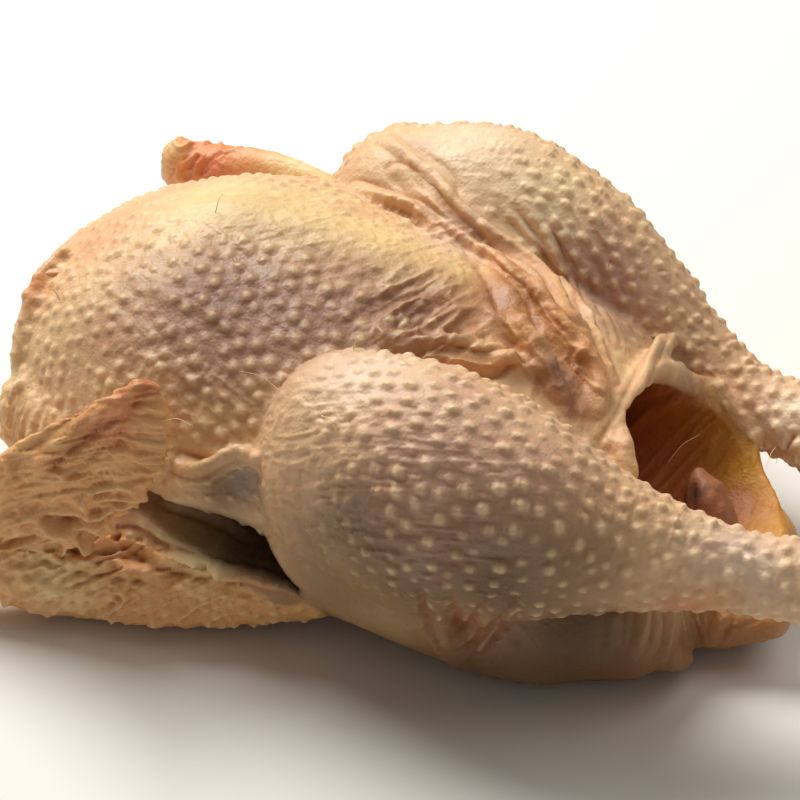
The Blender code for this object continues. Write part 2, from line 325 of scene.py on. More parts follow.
def limbGrid(rows):
    # ellipses square to the limb's line: line + half width * cos * across + half height * sin * up
    rows = easedRows(rows, fineness["limbRings"])
    rows, direction, share = domedRows(rows, (min(rows[0, 3:5]), min(rows[-1, 3:5])))
    across, up = sectionAxes(direction)
    turn = np.linspace(0.0, 2 * math.pi, fineness["limbSides"], endpoint=False)
    wide = (rows[:, 3] * share)[:, None, None] * np.cos(turn)[None, :, None] * across[:, None, :]
    tall = (rows[:, 4] * share)[:, None, None] * np.sin(turn)[None, :, None] * up[:, None, :]
    return rows[:, None, :3] + wide + tall


def trunkRows():
    table = np.asarray(trunk["stations"], float)
    x, halfWidth, top, widest, underside = table.T
    return easedRows(np.stack([x, x * 0, widest, halfWidth, top, underside], axis=1), trunk["rings"])


def trunkGrid():
    # upright super-ellipses |y/w|^n + |z/h|^n = 1, n smaller over the breast, and a soft ridge for the keel
    rows = trunkRows()
    neckShare, tailShare = trunk["domeShares"]
    rows, _, share = domedRows(rows, (rows[0, 3] * neckShare, rows[-1, 3] * tailShare))
    turn = np.linspace(0.0, 2 * math.pi, trunk["sides"], endpoint=False)
    cos, sin = np.cos(turn), np.sin(turn)
    power = 2 / np.where(sin > 0, trunk["breastRoundness"], trunk["backRoundness"])
    side = np.sign(cos) * np.abs(cos) ** power
    lift = np.sign(sin) * np.abs(sin) ** power
    above, below = rows[:, 4] - rows[:, 2], rows[:, 2] - rows[:, 5]
    height = np.where(sin[None, :] > 0, above[:, None], below[:, None])
    grid = np.empty((len(rows), len(turn), 3))
    grid[..., 0] = rows[:, :1]
    grid[..., 1] = (rows[:, 3] * share)[:, None] * side
    grid[..., 2] = rows[:, 2:3] + height * share[:, None] * lift
    begin, end = trunk["keelRange"]
    partWay = np.clip((rows[:, 0] - begin) / (end - begin), 0.0, 1.0)
    ridge = np.sin(math.pi * partWay)[:, None] ** trunk["keelPower"]
    ridge = ridge * np.exp(-((grid[..., 1] / trunk["keelHalfWidth"]) ** 2))
    grid[..., 2] += trunk["keelHeight"] * ridge * (sin[None, :] > 0)
    return grid


def tubeGrid(line, radii, closed=False, sides=16):
    # circles carried along a line: line + radius * (cos * side + sin * top)
    line = np.asarray(line, float)
    ahead = np.roll(line, -1, 0) - np.roll(line, 1, 0) if closed else np.gradient(line, axis=0)
    ahead /= np.linalg.norm(ahead, axis=1)[:, None]
    side = np.cross(ahead, (0.13, 0.31, 0.94))
    side /= np.linalg.norm(side, axis=1)[:, None]
    top = np.cross(side, ahead)
    turn = np.linspace(0.0, 2 * math.pi, sides, endpoint=False)
    spread = np.cos(turn)[None, :, None] * side[:, None, :] + np.sin(turn)[None, :, None] * top[:, None, :]
    return line[:, None, :] + np.asarray(radii)[:, None, None] * spread


def ballGrid(centre, radius, rings=18, sides=28):
    # a ball as rings from pole to pole
    tilt = np.linspace(0.04, math.pi - 0.04, rings)
    turn = np.linspace(0.0, 2 * math.pi, sides, endpoint=False)
    grid = np.empty((rings, sides, 3))
    grid[..., 0] = centre[0] + radius * np.sin(tilt)[:, None] * np.cos(turn)
    grid[..., 1] = centre[1] + radius * np.sin(tilt)[:, None] * np.sin(turn)
    grid[..., 2] = centre[2] + radius * np.cos(tilt)[:, None]
    return grid


def leafGrid():
    # the arched flap inside the mouth: a ball stretched along the camera's own directions
    ball = ballGrid((0.0, 0.0, 0.0), 1.0, 30, 44)
    frameAxes = np.stack([axis * size for axis, size in zip(cameraAxes(), cavity["leafSize"])])
    ball[..., 0] = ball[..., 0] * (1 - cavity["leafTaper"] * ball[..., 2]) - cavity["leafLean"] * ball[..., 2]
    return ball[..., [0, 2, 1]] @ frameAxes + np.array(cavity["leafCentre"])


def lipGrid():
    # the wavy rolled edge of the mouth: an ellipse in a tilted plane carrying a tube
    turn = np.linspace(0.0, 2 * math.pi, 90, endpoint=False)
    tilt = math.radians(cavity["mouthTilt"])
    slope = np.array([math.sin(tilt), 0.0, -math.cos(tilt)])
    outward = np.array([math.cos(tilt), 0.0, math.sin(tilt)])
    wave = cavity["lipWave"] * np.sin(5 * turn + 0.7)
    halfLength = (cavity["mouthHalfLength"] + 0.4 * wave) * np.cos(turn)
    line = np.array(cavity["mouthCentre"]) + halfLength[:, None] * slope
    line[:, 1] += (cavity["mouthHalfWidth"] + 0.4 * wave) * np.sin(turn)
    line += (wave - 1.0)[:, None] * outward
    thin = 0.78 + 0.22 * np.cos(turn)
    return tubeGrid(line, cavity["lipRadius"] * thin * (1 + 0.16 * np.sin(3 * turn + 1.1)), closed=True)


def gridFaces(rings, sides, closed=False):
    # quads round the grid, and a fan on each end unless the grid joins itself
    index = np.arange(rings * sides).reshape(rings, sides)
    beside = np.roll(index, -1, axis=1)
    if closed:
        after, afterBeside = np.roll(index, -1, axis=0), np.roll(beside, -1, axis=0)
        return np.stack([index, beside, afterBeside, after], axis=-1).reshape(-1, 4)
    quads = np.stack([index[:-1], beside[:-1], beside[1:], index[1:]], axis=-1).reshape(-1, 4)
    head, tail = np.full(sides, rings * sides), np.full(sides, rings * sides + 1)
    headFan = np.stack([beside[0], index[0], head, head], -1)
    tailFan = np.stack([index[-1], beside[-1], tail, tail], -1)
    return np.concatenate([quads, headFan, tailFan])


def gridForm(grid, closed=False):
    points = grid.reshape(-1, 3)
    faces = gridFaces(*grid.shape[:2], closed)
    if not closed:
        points = np.concatenate([points, grid[0].mean(0)[None], grid[-1].mean(0)[None]])
    a, b, c, d = (points[faces[:, k]] for k in range(4))
    volume = (a * (np.cross(b, c) + np.cross(c, d))).sum()
    return points, faces if volume > 0 else faces[:, [1, 0, 3, 2]]


def rollGrid(radius, line):
    # a tube along a smooth line, its radius falling to under half at both ends
    line = easedRows(np.asarray(line, float), 40)
    partWay = np.linspace(0.0, 1.0, 40)
    swell = 0.35 + 0.65 * np.sin(math.pi * np.clip(partWay, 0.02, 0.98)) ** 0.5
    return tubeGrid(line, radius * swell)


def meshOf(name, points, faces, scale=0.001):
    # faces hold four corners, or three with the last one said twice
    small = faces[:, 2] == faces[:, 3]
    quads = faces[~small]
    threes = faces[small][:, :3]
    mesh = bpy.data.meshes.new(name)
    mesh.vertices.add(len(points))
    mesh.vertices.foreach_set("co", (points * scale).astype(np.float32).ravel())
    corners = np.concatenate([quads.ravel(), threes.ravel()]).astype(np.int32)
    mesh.loops.add(len(corners))
    mesh.loops.foreach_set("vertex_index", corners)
    mesh.polygons.add(len(quads) + len(threes))
    starts = np.concatenate([np.arange(len(quads)) * 4, len(quads) * 4 + np.arange(len(threes)) * 3])
    mesh.polygons.foreach_set("loop_start", starts.astype(np.int32))
    mesh.update(calc_edges=True)
    mesh.validate()
    return mesh


def objectOf(name, mesh):
    thing = bpy.data.objects.new(name, mesh)
    bpy.context.scene.collection.objects.link(thing)
    return thing


def stackForms(forms):
    points, faces, count = [], [], 0
    for places, corners in forms:
        points.append(places)
        faces.append(corners + count)
        count += len(places)
    return np.concatenate(points), np.concatenate(faces)


def arraysOf(thing):
    # the finished mesh of an object, in millimetres, as points and four-cornered faces
    mesh = thing.evaluated_get(bpy.context.evaluated_depsgraph_get()).to_mesh()
    points = np.empty(len(mesh.vertices) * 3, np.float32)
    mesh.vertices.foreach_get("co", points)
    corners = np.empty(len(mesh.loops), np.int32)
    mesh.loops.foreach_get("vertex_index", corners)
    sizes = np.empty(len(mesh.polygons), np.int32)
    mesh.polygons.foreach_get("loop_total", sizes)
    if not (sizes == 4).all():
        raise RuntimeError("the fused form is not all four-cornered")
    return points.reshape(-1, 3).astype(float) * 1000, corners.reshape(-1, 4).astype(np.int64)


def remesh(thing, name, voxel):
    step = thing.modifiers.new(name, "REMESH")
    step.mode = "VOXEL"
    step.voxel_size = voxel * 0.001
    step.adaptivity = 0.0


def lowestNames(count, first, second):
    # the smallest number each member can reach through the pairs, found by repeated lowering
    low = np.arange(count)
    while True:
        new = low.copy()
        np.minimum.at(new, first, low[second])
        np.minimum.at(new, second, low[first])
        new = new[new]
        if (new == low).all():
            return low
        low = new


def fusedFlesh():
    # all forms grown into one skin, hollowed, meshed again evenly, and its largest body kept
    forms = [gridForm(trunkGrid()), gridForm(lipGrid(), closed=True)]
    forms += [gridForm(limbGrid(rows)) for rows in limbs.values()]
    forms += [gridForm(ballGrid(k[:3], k[3])) for k in knuckles + farWingLumps]
    forms += [gridForm(rollGrid(*roll)) for roll in rolls.values()]
    flesh = objectOf("flesh", meshOf("flesh", *stackForms(forms)))
    hollow = objectOf("hollow", meshOf("hollow", *gridForm(limbGrid(cavity["stations"]))))
    leaf = objectOf("leaf", meshOf("leaf", *gridForm(leafGrid())))
    remesh(flesh, "growTogether", fineness["firstVoxel"])
    slot = objectOf("slot", meshOf("slot", *gridForm(limbGrid(cavity["wingSlot"]))))
    for other, way in ((hollow, "DIFFERENCE"), (slot, "DIFFERENCE"), (leaf, "UNION")):
        cut = flesh.modifiers.new(other.name, "BOOLEAN")
        cut.object = other
        cut.operation = way
        cut.solver = "MANIFOLD"
    remesh(flesh, "evenSkin", skinVoxel)
    bpy.context.view_layer.update()
    points, quads = arraysOf(flesh)
    for thing in (flesh, hollow, slot, leaf):
        bpy.data.objects.remove(thing)
    first = quads.ravel()
    body = lowestNames(len(points), first, np.roll(quads, -1, axis=1).ravel())
    kept = body == np.bincount(body).argmax()
    renumber = np.cumsum(kept) - 1
    return points[kept], renumber[quads[kept[quads[:, 0]]]]


# sums over the fused skin


class Skin:
    def __init__(self, points, quads):
        self.points = points
        self.quads = quads
        self.count = len(points)

    def addUp(self, corner, values):
        return np.bincount(self.quads[:, corner], weights=values, minlength=self.count)

    def normals(self):
        # each face's diagonal cross product, added up at its corners
        a, b, c, d = (self.points[self.quads[:, k]] for k in range(4))
        cross = np.cross(c - a, d - b)
        sums = [sum(self.addUp(k, cross[:, axis]) for k in range(4)) for axis in range(3)]
        total = np.stack(sums, axis=1)
        return total / (np.linalg.norm(total, axis=1)[:, None] + 1e-12)

    def around(self, values):
        # the mean of each point's neighbours along the edges
        flat = values.reshape(self.count, -1)
        weight = sum(self.addUp(k, np.full(len(self.quads), 2.0)) for k in range(4))
        mean = np.empty_like(flat)
        for column in range(flat.shape[1]):
            total = 0.0
            for k in range(4):
                pair = flat[self.quads[:, (k + 1) % 4], column] + flat[self.quads[:, (k + 3) % 4], column]
                total = total + self.addUp(k, pair)
            mean[:, column] = total / np.maximum(weight, 1.0)
        return mean.reshape(values.shape)

    def settle(self, passes):
        for _ in range(passes):
            self.points = self.points + 0.5 * (self.around(self.points) - self.points)

    def spread(self, values, passes):
        for _ in range(passes):
            values = 0.5 * values + 0.5 * self.around(values)
        return values


def limbPlace(points, rows):
    # where each point is on a limb: length along, turn round it, distance outside it, radius there
    rows = easedRows(rows, fineness["placeRows"])
    direction = np.gradient(rows[:, :3], axis=0)
    direction /= np.linalg.norm(direction, axis=1)[:, None]
    across, up = sectionAxes(direction)
    run = np.concatenate([[0.0], np.cumsum(np.linalg.norm(np.diff(rows[:, :3], axis=0), axis=1))])
    best = np.full(len(points), 1e18)
    nearest = np.zeros(len(points), np.int64)
    for k in range(len(rows)):
        gap = ((points - rows[k, :3]) ** 2).sum(axis=1)
        closer = gap < best
        best[closer] = gap[closer]
        nearest[closer] = k
    offset = points - rows[nearest, :3]
    forward = (offset * direction[nearest]).sum(1)
    wide = (offset * across[nearest]).sum(1)
    tall = (offset * up[nearest]).sum(1)
    halfWide, halfTall = rows[nearest, 3], rows[nearest, 4]
    past = np.where(nearest == len(rows) - 1, np.maximum(forward, 0), 0)
    past = np.where(nearest == 0, np.minimum(forward, 0), past)
    size = np.minimum(halfWide, halfTall)
    reach = np.sqrt((wide / halfWide) ** 2 + (tall / halfTall) ** 2 + (past / size) ** 2)
    radial = np.hypot(wide, tall)
    domed = np.sign(past) * size * np.arctan2(np.abs(past), np.maximum(radial, 1e-6))
    along = run[nearest] + np.where(past != 0, domed, forward)
    turn = np.arctan2(tall / halfTall, wide / halfWide)
    ringRadius = 0.5 * (rows[:, 3] + rows[:, 4])
    outside = (reach - 1) * size
    return dict(along=along, turn=turn, outside=outside, radius=radial, ringRadius=ringRadius, run=run)


def trunkPlace(points):
    # the same for the trunk, with upright sections and a rounded neck end
    rows = trunkRows()
    x = np.clip(points[:, 0], rows[0, 0], rows[-1, 0])
    wide, mid, top, low = (np.interp(x, rows[:, 0], rows[:, k]) for k in (3, 2, 4, 5))
    neckStart, neckRadius = trunk["neckRound"]
    z = points[:, 2] - mid
    tall = np.where(z > 0, top - mid, mid - low)
    power = np.where(z > 0, trunk["breastRoundness"], trunk["backRoundness"])
    reach = ((np.abs(points[:, 1]) / wide) ** power + (np.abs(z) / tall) ** power) ** (1 / power)
    past = np.abs(points[:, 0] - x)
    radial = np.hypot(points[:, 1], z)
    front = neckStart - neckRadius * np.arctan2(neckStart - points[:, 0], np.maximum(radial, 1e-6))
    along = np.where(points[:, 0] < neckStart, front, points[:, 0]) - trunk["runStart"]
    turn = np.arctan2(z / tall, points[:, 1] / wide)
    run = np.linspace(0, trunk["runLength"], 80)
    sectionX = run + trunk["runStart"]
    ringRadius = np.interp(sectionX, rows[:, 0], 0.5 * (rows[:, 3] + 0.5 * (rows[:, 4] - rows[:, 5])))
    neckRings = neckRadius * np.cos(np.clip((neckStart - sectionX) / neckRadius, 0, 1.5))
    ringRadius = np.where(sectionX < neckStart, neckRings, ringRadius)
    outside = (reach - 1) * np.minimum(wide, tall) + past
    return dict(along=along, turn=turn, outside=outside, radius=radial, ringRadius=ringRadius, run=run)


def follicles(at, spacing, seed, wander=0.24):
    # staggered rings of dots round a form: distance to the nearest dot, and that dot's own random number
    rowStep = spacing * 0.88
    nearest = np.full(len(at["along"]), 1e9)
    lot = np.zeros(len(nearest))
    row = np.floor(at["along"] / rowStep).astype(np.int64)
    for rowShift in (-1, 0, 1):
        ring = row + rowShift
        ringRadius = np.interp((ring + 0.5) * rowStep, at["run"], at["ringRadius"])
        count = np.maximum(np.round(2 * math.pi * ringRadius / spacing), 5)
        stagger = 0.5 * (ring % 2) + 0.13 * hashed(ring, 7, seed=seed)
        cell = np.floor((at["turn"] / (2 * math.pi)) * count - stagger)
        for cellShift in (-1, 0, 1):
            spot = cell + cellShift
            name = np.mod(spot, count).astype(np.int64)
            turn = spot + stagger + 0.5 + wander * (hashed(ring, name, 1, seed) * 2 - 1)
            turn = turn / count * 2 * math.pi
            along = (ring + 0.5 + wander * (hashed(ring, name, 2, seed) * 2 - 1)) * rowStep
            bend = np.mod(at["turn"] - turn + math.pi, 2 * math.pi) - math.pi
            gap = np.hypot(bend * at["radius"], at["along"] - along)
            closer = gap < nearest
            nearest = np.where(closer, gap, nearest)
            lot = np.where(closer, hashed(ring, name, 3, seed), lot)
    return nearest, lot


def smoothLine(points, step=1.0):
    rows = easedRows(np.asarray(points, float), 400)
    length = np.linalg.norm(np.diff(rows, axis=0), axis=1).sum()
    return easedRows(np.asarray(points, float), max(int(length / step), 6))


def nearLine(points, line, reach):
    # distance to a line and how far along it, for the points within reach of it
    low, high = line.min(0) - reach, line.max(0) + reach
    near = np.where(((points > low) & (points < high)).all(1))[0]
    best = np.full(len(near), 1e9)
    part = np.zeros(len(near))
    for k in range(len(line)):
        gap = np.linalg.norm(points[near] - line[k], axis=1)
        closer = gap < best
        best = np.where(closer, gap, best)
        part = np.where(closer, k / (len(line) - 1), part)
    inside = best < reach
    return near[inside], best[inside], part[inside]


def linear(colour):
    # screen colour 0-255 to light values
    colour = np.asarray(colour, float) / 255
    return np.where(colour <= 0.04045, colour / 12.92, ((colour + 0.055) / 1.055) ** 2.4)


points, quads = fusedFlesh()
skin = Skin(points, quads)
skin.settle(fineness["settlePasses"])
print("flesh fused:", skin.count, "points")

# where each point lies

onTrunk = trunkPlace(skin.points)
onLimb = {name: limbPlace(skin.points, rows) for name, rows in limbs.items()}
inCavity = limbPlace(skin.points, cavity["stations"])
partForms = {
    "nearLeg": ["nearDrumstick", "nearThigh"],
    "farLeg": ["farDrumstick", "farThigh"],
    "nearWing": ["nearForearm", "nearHand"],
    "farWing": ["farForearm", "farHand"],
}
bodyForms = ["tail", "nearUpperWing", "farUpperWing", "nearWeb", "farWeb"]


def outsideOf(names):
    return np.min([onLimb[name]["outside"] for name in names], axis=0)


closeness = {"body": np.minimum(onTrunk["outside"], outsideOf(bodyForms))}
for part, names in partForms.items():
    closeness[part] = outsideOf(names)
partNames = list(closeness)
tiltOut = math.radians(cavity["mouthTilt"])
mouthDepth = (skin.points - cavity["mouthCentre"]) @ [math.cos(tiltOut), 0, math.sin(tiltOut)]
lining = (inCavity["outside"] < 1.5) & (mouthDepth < -2)  # close to the hollow, behind the mouth's plane
whichPart = np.argmin([closeness[part] for part in partNames], axis=0)
whichPart[lining] = 0
share = {}
for index, part in enumerate(partNames):
    share[part] = skin.spread((whichPart == index).astype(float), 6)
share["lining"] = skin.spread(lining.astype(float), 3)
print("parts told apart")

# folds and creases, drawn over the surface from the camera's side

rayForm = objectOf("rayForm", meshOf("rayForm", skin.points, skin.quads))
bpy.context.view_layer.update()


def onSkin(pixels):
    places = []
    eye = Vector(eyePoint() * 0.001)
    for pixel in pixels:
        hit, spot, _, _ = rayForm.ray_cast(eye, Vector(pixelDirection(pixel)))
        if hit:
            places.append(np.array(spot) * 1000)
    return np.array(places)


# pixels of the line, half width, height, share of fold colour, groove beside it, raggedness
folds = {
    "legEdge": (
        [(386, 140), (418, 160), (441, 178), (452, 198), (470, 216), (492, 232), (519, 250), (542, 269),
         (560, 294), (573, 314), (589, 332), (600, 354)],
        1.9, 1.9, 0.5, 0.9, 0.2,
    ),
    "legEdgeLow": (
        [(397, 171), (412, 184), (431, 201), (455, 225), (471, 238), (493, 253), (516, 268), (531, 279),
         (550, 300), (567, 319), (588, 340)],
        1.7, 1.6, 0.6, 1.0, 0.2,
    ),
    "legLap": (
        [(350, 188), (382, 195), (409, 203), (433, 221), (450, 233), (472, 246), (498, 264), (520, 282)],
        1.6, 1.5, 0.8, 1.2, 0.3,
    ),
    "fanA": ([(504, 209), (516, 220), (530, 236), (542, 250)], 1.0, 0.7, 0.1, 0.4, 0.2),
    "ribbon": (
        [(525, 203), (538, 224), (550, 246), (563, 284), (575, 302), (584, 314), (603, 354), (612, 380)],
        1.5, 1.7, 0.3, 0.8, 0.2,
    ),
    "fanB": ([(546, 228), (554, 252), (569, 280), (581, 306), (599, 338)], 1.2, 1.0, 0.2, 0.5, 0.2),
    "fanC": ([(563, 226), (577, 257), (595, 280), (603, 312), (616, 345)], 1.1, 0.8, 0.1, 0.4, 0.2),
    "fanD": ([(590, 240), (606, 268), (618, 296), (628, 330)], 1.1, 0.6, 0.1, 0.3, 0.2),
    "tautEdge": ([(667, 322), (655, 350), (640, 382), (606, 444)], 1.2, 1.9, 0.2, 0.6, 0.0),
    "archEdge": (
        [(612, 443), (629, 428), (646, 411), (667, 403), (690, 402), (712, 410)],
        1.8, 1.5, 0.2, 0.5, 0.1,
    ),
    "bellyRoll": (
        [(487, 256), (503, 282), (516, 308), (530, 334), (546, 358), (563, 386)],
        3.2, 2.6, 1.0, 1.3, 0.25,
    ),
    "bellyRollFar": (
        [(498, 258), (519, 280), (538, 297), (552, 318), (569, 340), (588, 357), (600, 380), (592, 408)],
        2.4, 2.2, 1.0, 1.2, 0.3,
    ),
    "legTopRoll": (
        [(428, 353), (448, 357), (466, 363), (487, 365), (508, 356), (522, 352)],
        1.9, 2.4, 0.8, 1.3, 0.2,
    ),
    "handSpine": ([(26, 472), (52, 447), (80, 426), (104, 409), (134, 389)], 2.3, 1.5, 0.1, 0.9, 0.25),
    "handGroove": ([(141, 394), (131, 412), (122, 436), (110, 458)], 1.4, -1.1, 0.2, -0.3, 0.5),
    "handSpineLow": ([(60, 472), (84, 452), (106, 430), (122, 408)], 1.6, 0.9, 0.1, 0.5, 0.4),
    "leafSlot": ([(694, 508), (693, 492), (698, 478)], 1.6, -1.6, 0.0, -0.2, 0.0),
    "legTopRidge": ([(385, 340), (409, 345), (435, 339), (458, 339), (474, 333)], 1.7, 1.5, 0.4, 0.8, 0.5),
    "webRidge": (
        [(164, 458), (189, 468), (210, 464), (227, 455), (238, 451), (253, 457)],
        1.8, 2.4, 0.4, 1.2, 0.1,
    ),
    "flankEdge": ([(152, 478), (181, 504), (210, 513), (232, 524), (253, 536)], 1.8, 1.6, 0.3, 0.8, 0.1),
    "handRuffle": (
        [(171, 430), (167, 455), (160, 470), (147, 481), (134, 493), (124, 505), (117, 518)],
        1.5, 1.2, 0.2, 0.4, 0.5,
    ),
    "wingRuffle": (
        [(2, 536), (48, 526), (74, 532), (88, 546), (109, 541), (143, 542), (152, 551), (181, 561),
         (210, 568), (248, 576), (274, 583), (302, 594)],
        1.9, 2.6, 0.5, 0.9, 1.0,
    ),
    "wingRidge": ([(4, 556), (40, 548), (80, 562), (120, 566), (160, 577)], 1.8, 1.5, 0.4, 0.6, 1.0),
    "hipFoldA": ([(437, 592), (440, 612), (446, 634), (462, 655)], 2.4, 2.0, 0.1, 1.4, 0.08),
    "hipFoldB": ([(505, 602), (490, 614), (474, 630), (462, 640)], 1.8, 1.8, 0.1, 1.4, 0.08),
    "hipFoldC": ([(500, 620), (488, 634), (478, 650)], 1.4, 1.4, 0.1, 1.0, 0.08),
    "hipCrease": ([(514, 592), (518, 610), (517, 640)], 1.5, -2.2, 0.0, -0.4, 0.1),
    "backArcA": ([(640, 592), (646, 614), (642, 636), (633, 656)], 1.5, 1.4, 0.1, 0.9, 0.1),
    "backArcB": ([(664, 592), (672, 612), (670, 636), (656, 664)], 1.5, 1.5, 0.1, 1.0, 0.1),
    "backArcC": ([(610, 600), (616, 620), (612, 644), (600, 664)], 1.4, 1.0, 0.0, 0.6, 0.1),
    "tailStep": ([(731, 600), (722, 620), (707, 644)], 1.6, 1.7, 0.4, 1.0, 0.1),
    "hockCrack": ([(795, 432), (791, 439), (787, 446), (784, 451)], 0.9, -1.3, 0.0, -0.2, 0.2),
}

# centre as a pixel or a place, reach, way of the ridges as degrees or a vector, spacing, length, height, part
ripples = {
    "breastWrinkles": ((420, 318), 19, 33, 4.4, 15, 1.15, "body"),
    "breastRows": ((230, 300), 46, -38, 5.6, 18, 0.3, "body"),
    "shoulderStack": ((18, 420), 15, 78, 2.6, 16, 0.8, "body"),
    "breastUnder": ((120, 400), 34, 62, 3.4, 9, 0.55, "body"),
    "breastTexture": ((400, 230), 40, 20, 3.0, 5, 0.3, "body"),
    "keelTexture": ((250, 205), 34, 8, 2.4, 6, 0.16, "body"),
    "kneeLines": ((300, 490), 30, 8, 2.4, 9, 0.4, "nearLeg"),
    "kneeMesh": ((330, 430), 26, 14, 2.6, 16, 0.14, "nearLeg"),
    "underLeg": ((430, 560), 36, -4, 2.4, 14, 0.4, "nearLeg"),
    "legWaves": ((380, 420), 40, 14, 5.6, 14, 0.12, "nearLeg"),
    "shankRows": ((680, 540), 34, 66, 4.4, 8, 0.25, "nearLeg"),
    "farFan": ((575, 255), 20, -58, 2.8, 18, 0.5, "farLeg"),
    "farTop": ((480, 150), 34, -8, 3.0, 12, 0.1, "farLeg"),
    "farShank": ((720, 370), 26, -40, 4.0, 6, 0.35, "farLeg"),
    "foldFlesh": ((555, 350), 20, -52, 4.0, 12, 0.9, "body"),
    "backRed": ((686, 612), 12, 104, 1.9, 18, 0.9, "body"),
    "backArcs": ((640, 620), 26, 98, 4.6, 22, 0.4, "body"),
    "hipLumps": ((468, 625), 17, 47, 5.5, 14, 0.5, "nearLeg"),
    "tailLines": ((745, 625), 16, 20, 2.2, 12, 0.3, "body"),
    "handLines": ((92, 450), 34, 9, 1.8, 22, 0.95, "nearWing"),
    "handLumps": ((70, 440), 26, 40, 9.0, 15, 0.15, "nearWing"),
    "foreRidges": ((90, 575), 38, 24, 4.8, 15, 1.7, "nearWing"),
    "foreFine": ((235, 602), 28, 12, 2.3, 8, 0.5, "nearWing"),
    "farKnob": ((190, 150), 20, 40, 4.0, 6, 0.8, "farWing"),
    "cavityLines": ((655, 440), 34, 48, 2.4, 26, 0.45, "lining"),
    "farForearm": ((-52, 90, 46), 32, (1, 0, 0.35), 4.2, 11, 1.2, "farWing"),
    "neckFolds": ((-114, 2, 62), 34, (0, 1, 0.15), 5.5, 24, 0.9, "body"),
    "farDrum": ((40, 92, 58), 34, (1, 0, -0.2), 2.6, 14, 0.35, "farLeg"),
    "farKnee": ((-26, 84, 66), 24, (0.2, 0.2, 1), 3.2, 12, 0.35, "farLeg"),
    "nearSole": ((160, -46, 53), 14, (0, 1, 0.2), 2.6, 9, 0.5, "nearLeg"),
    "farSole": ((136, 43, 39), 14, (0, 1, 0.2), 2.6, 9, 0.5, "farLeg"),
    "tailUnder": ((112, -13, 6), 26, (0, 1, 0), 3.6, 16, 0.4, "body"),
}


# shares of a fold's own half width or height, and the sizes of the noises that make it uneven
foldShape = {
    "reach": 4.0,
    "swell": 0.3,
    "swellSize": 6.0,
    "ragged": 1.1,
    "raggedSize": 2.6,
    "endPower": 0.45,
    "grooveAt": 1.9,
    "grooveWidth": 0.55,
    "tintWidth": 2.2,
}
rippleShape = {"main": 0.7, "fine": 0.3, "fineness": 2.1, "ridge": 0.24, "least": 0.02}

flat = skin.points
skinNormals = skin.normals()
foldMask = np.zeros(skin.count)
grooveShade = np.zeros(skin.count)
rise = np.zeros(skin.count)
for number, (name, (pixels, width, height, orange, groove, ragged)) in enumerate(folds.items()):
    line = onSkin(pixels)
    if len(line) < 3:
        print("fold off the skin:", name)
        continue
    near, gap, part = nearLine(flat, smoothLine(line), width * foldShape["reach"])
    wander = 1 + foldShape["swell"] * noise(flat[near], foldShape["swellSize"], number)
    wander += ragged * foldShape["ragged"] * noise(flat[near], foldShape["raggedSize"], number + 40)
    ends = np.sin(math.pi * np.clip(part, 0.03, 0.97)) ** foldShape["endPower"]
    crest = np.exp(-((gap / width) ** 2)) * ends * wander
    valley = (gap - foldShape["grooveAt"] * width) / (foldShape["grooveWidth"] * width)
    valley = np.exp(-(valley**2)) * ends
    rise[near] += height * crest - groove * valley
    tinted = orange * np.exp(-((gap / (width * foldShape["tintWidth"])) ** 2)) * ends
    foldMask[near] = np.maximum(foldMask[near], tinted)
    grooveShade[near] = np.maximum(grooveShade[near], np.clip(groove, 0, 1) * valley)
for number, (name, (spot, reach, way, across, along, height, part)) in enumerate(ripples.items()):
    right, up, back = cameraAxes()
    if len(spot) == 2:
        centre = onSkin([spot])
        lie = math.radians(way)
        lengthWay = right * math.cos(lie) + up * math.sin(lie)
        widthWay = up * math.cos(lie) - right * math.sin(lie)
    else:
        centre = flat[[np.argmin(np.linalg.norm(flat - np.array(spot, float), axis=1))]]
        nearby = np.linalg.norm(flat - centre[0], axis=1) < reach * 0.5
        back = skinNormals[nearby].mean(axis=0)
        lengthWay = np.array(way, float) / np.linalg.norm(way)
        widthWay = np.cross(back, lengthWay)
    if len(centre) == 0:
        print("ripples off the skin:", name)
        continue
    offset = flat - centre[0]
    fade = np.exp(-((np.linalg.norm(offset, axis=1) / reach) ** 4)) * share[part]
    near = np.where(fade > rippleShape["least"])[0]
    offset = offset[near]
    local = np.stack([offset @ lengthWay / along, offset @ widthWay / across, offset @ back / along], axis=1)
    main = ridged(local, 1.0, 60 + number, rippleShape["ridge"])
    fine = ridged(local * rippleShape["fineness"], 1.0, 90 + number, rippleShape["ridge"])
    rise[near] += height * fade[near] * (rippleShape["main"] * main + rippleShape["fine"] * fine)
print("folds drawn")

# where surfaces meet in a tight crease the smoothed normals cancel: relief fades there
smoothed = skinNormals
for _ in range(5):
    smoothed = skin.around(smoothed)
pinched = skin.spread(step01(1 - np.linalg.norm(smoothed, axis=1), 0.1, 0.35), 4)

# bumps where feathers grew, and the soft unevenness of the flesh

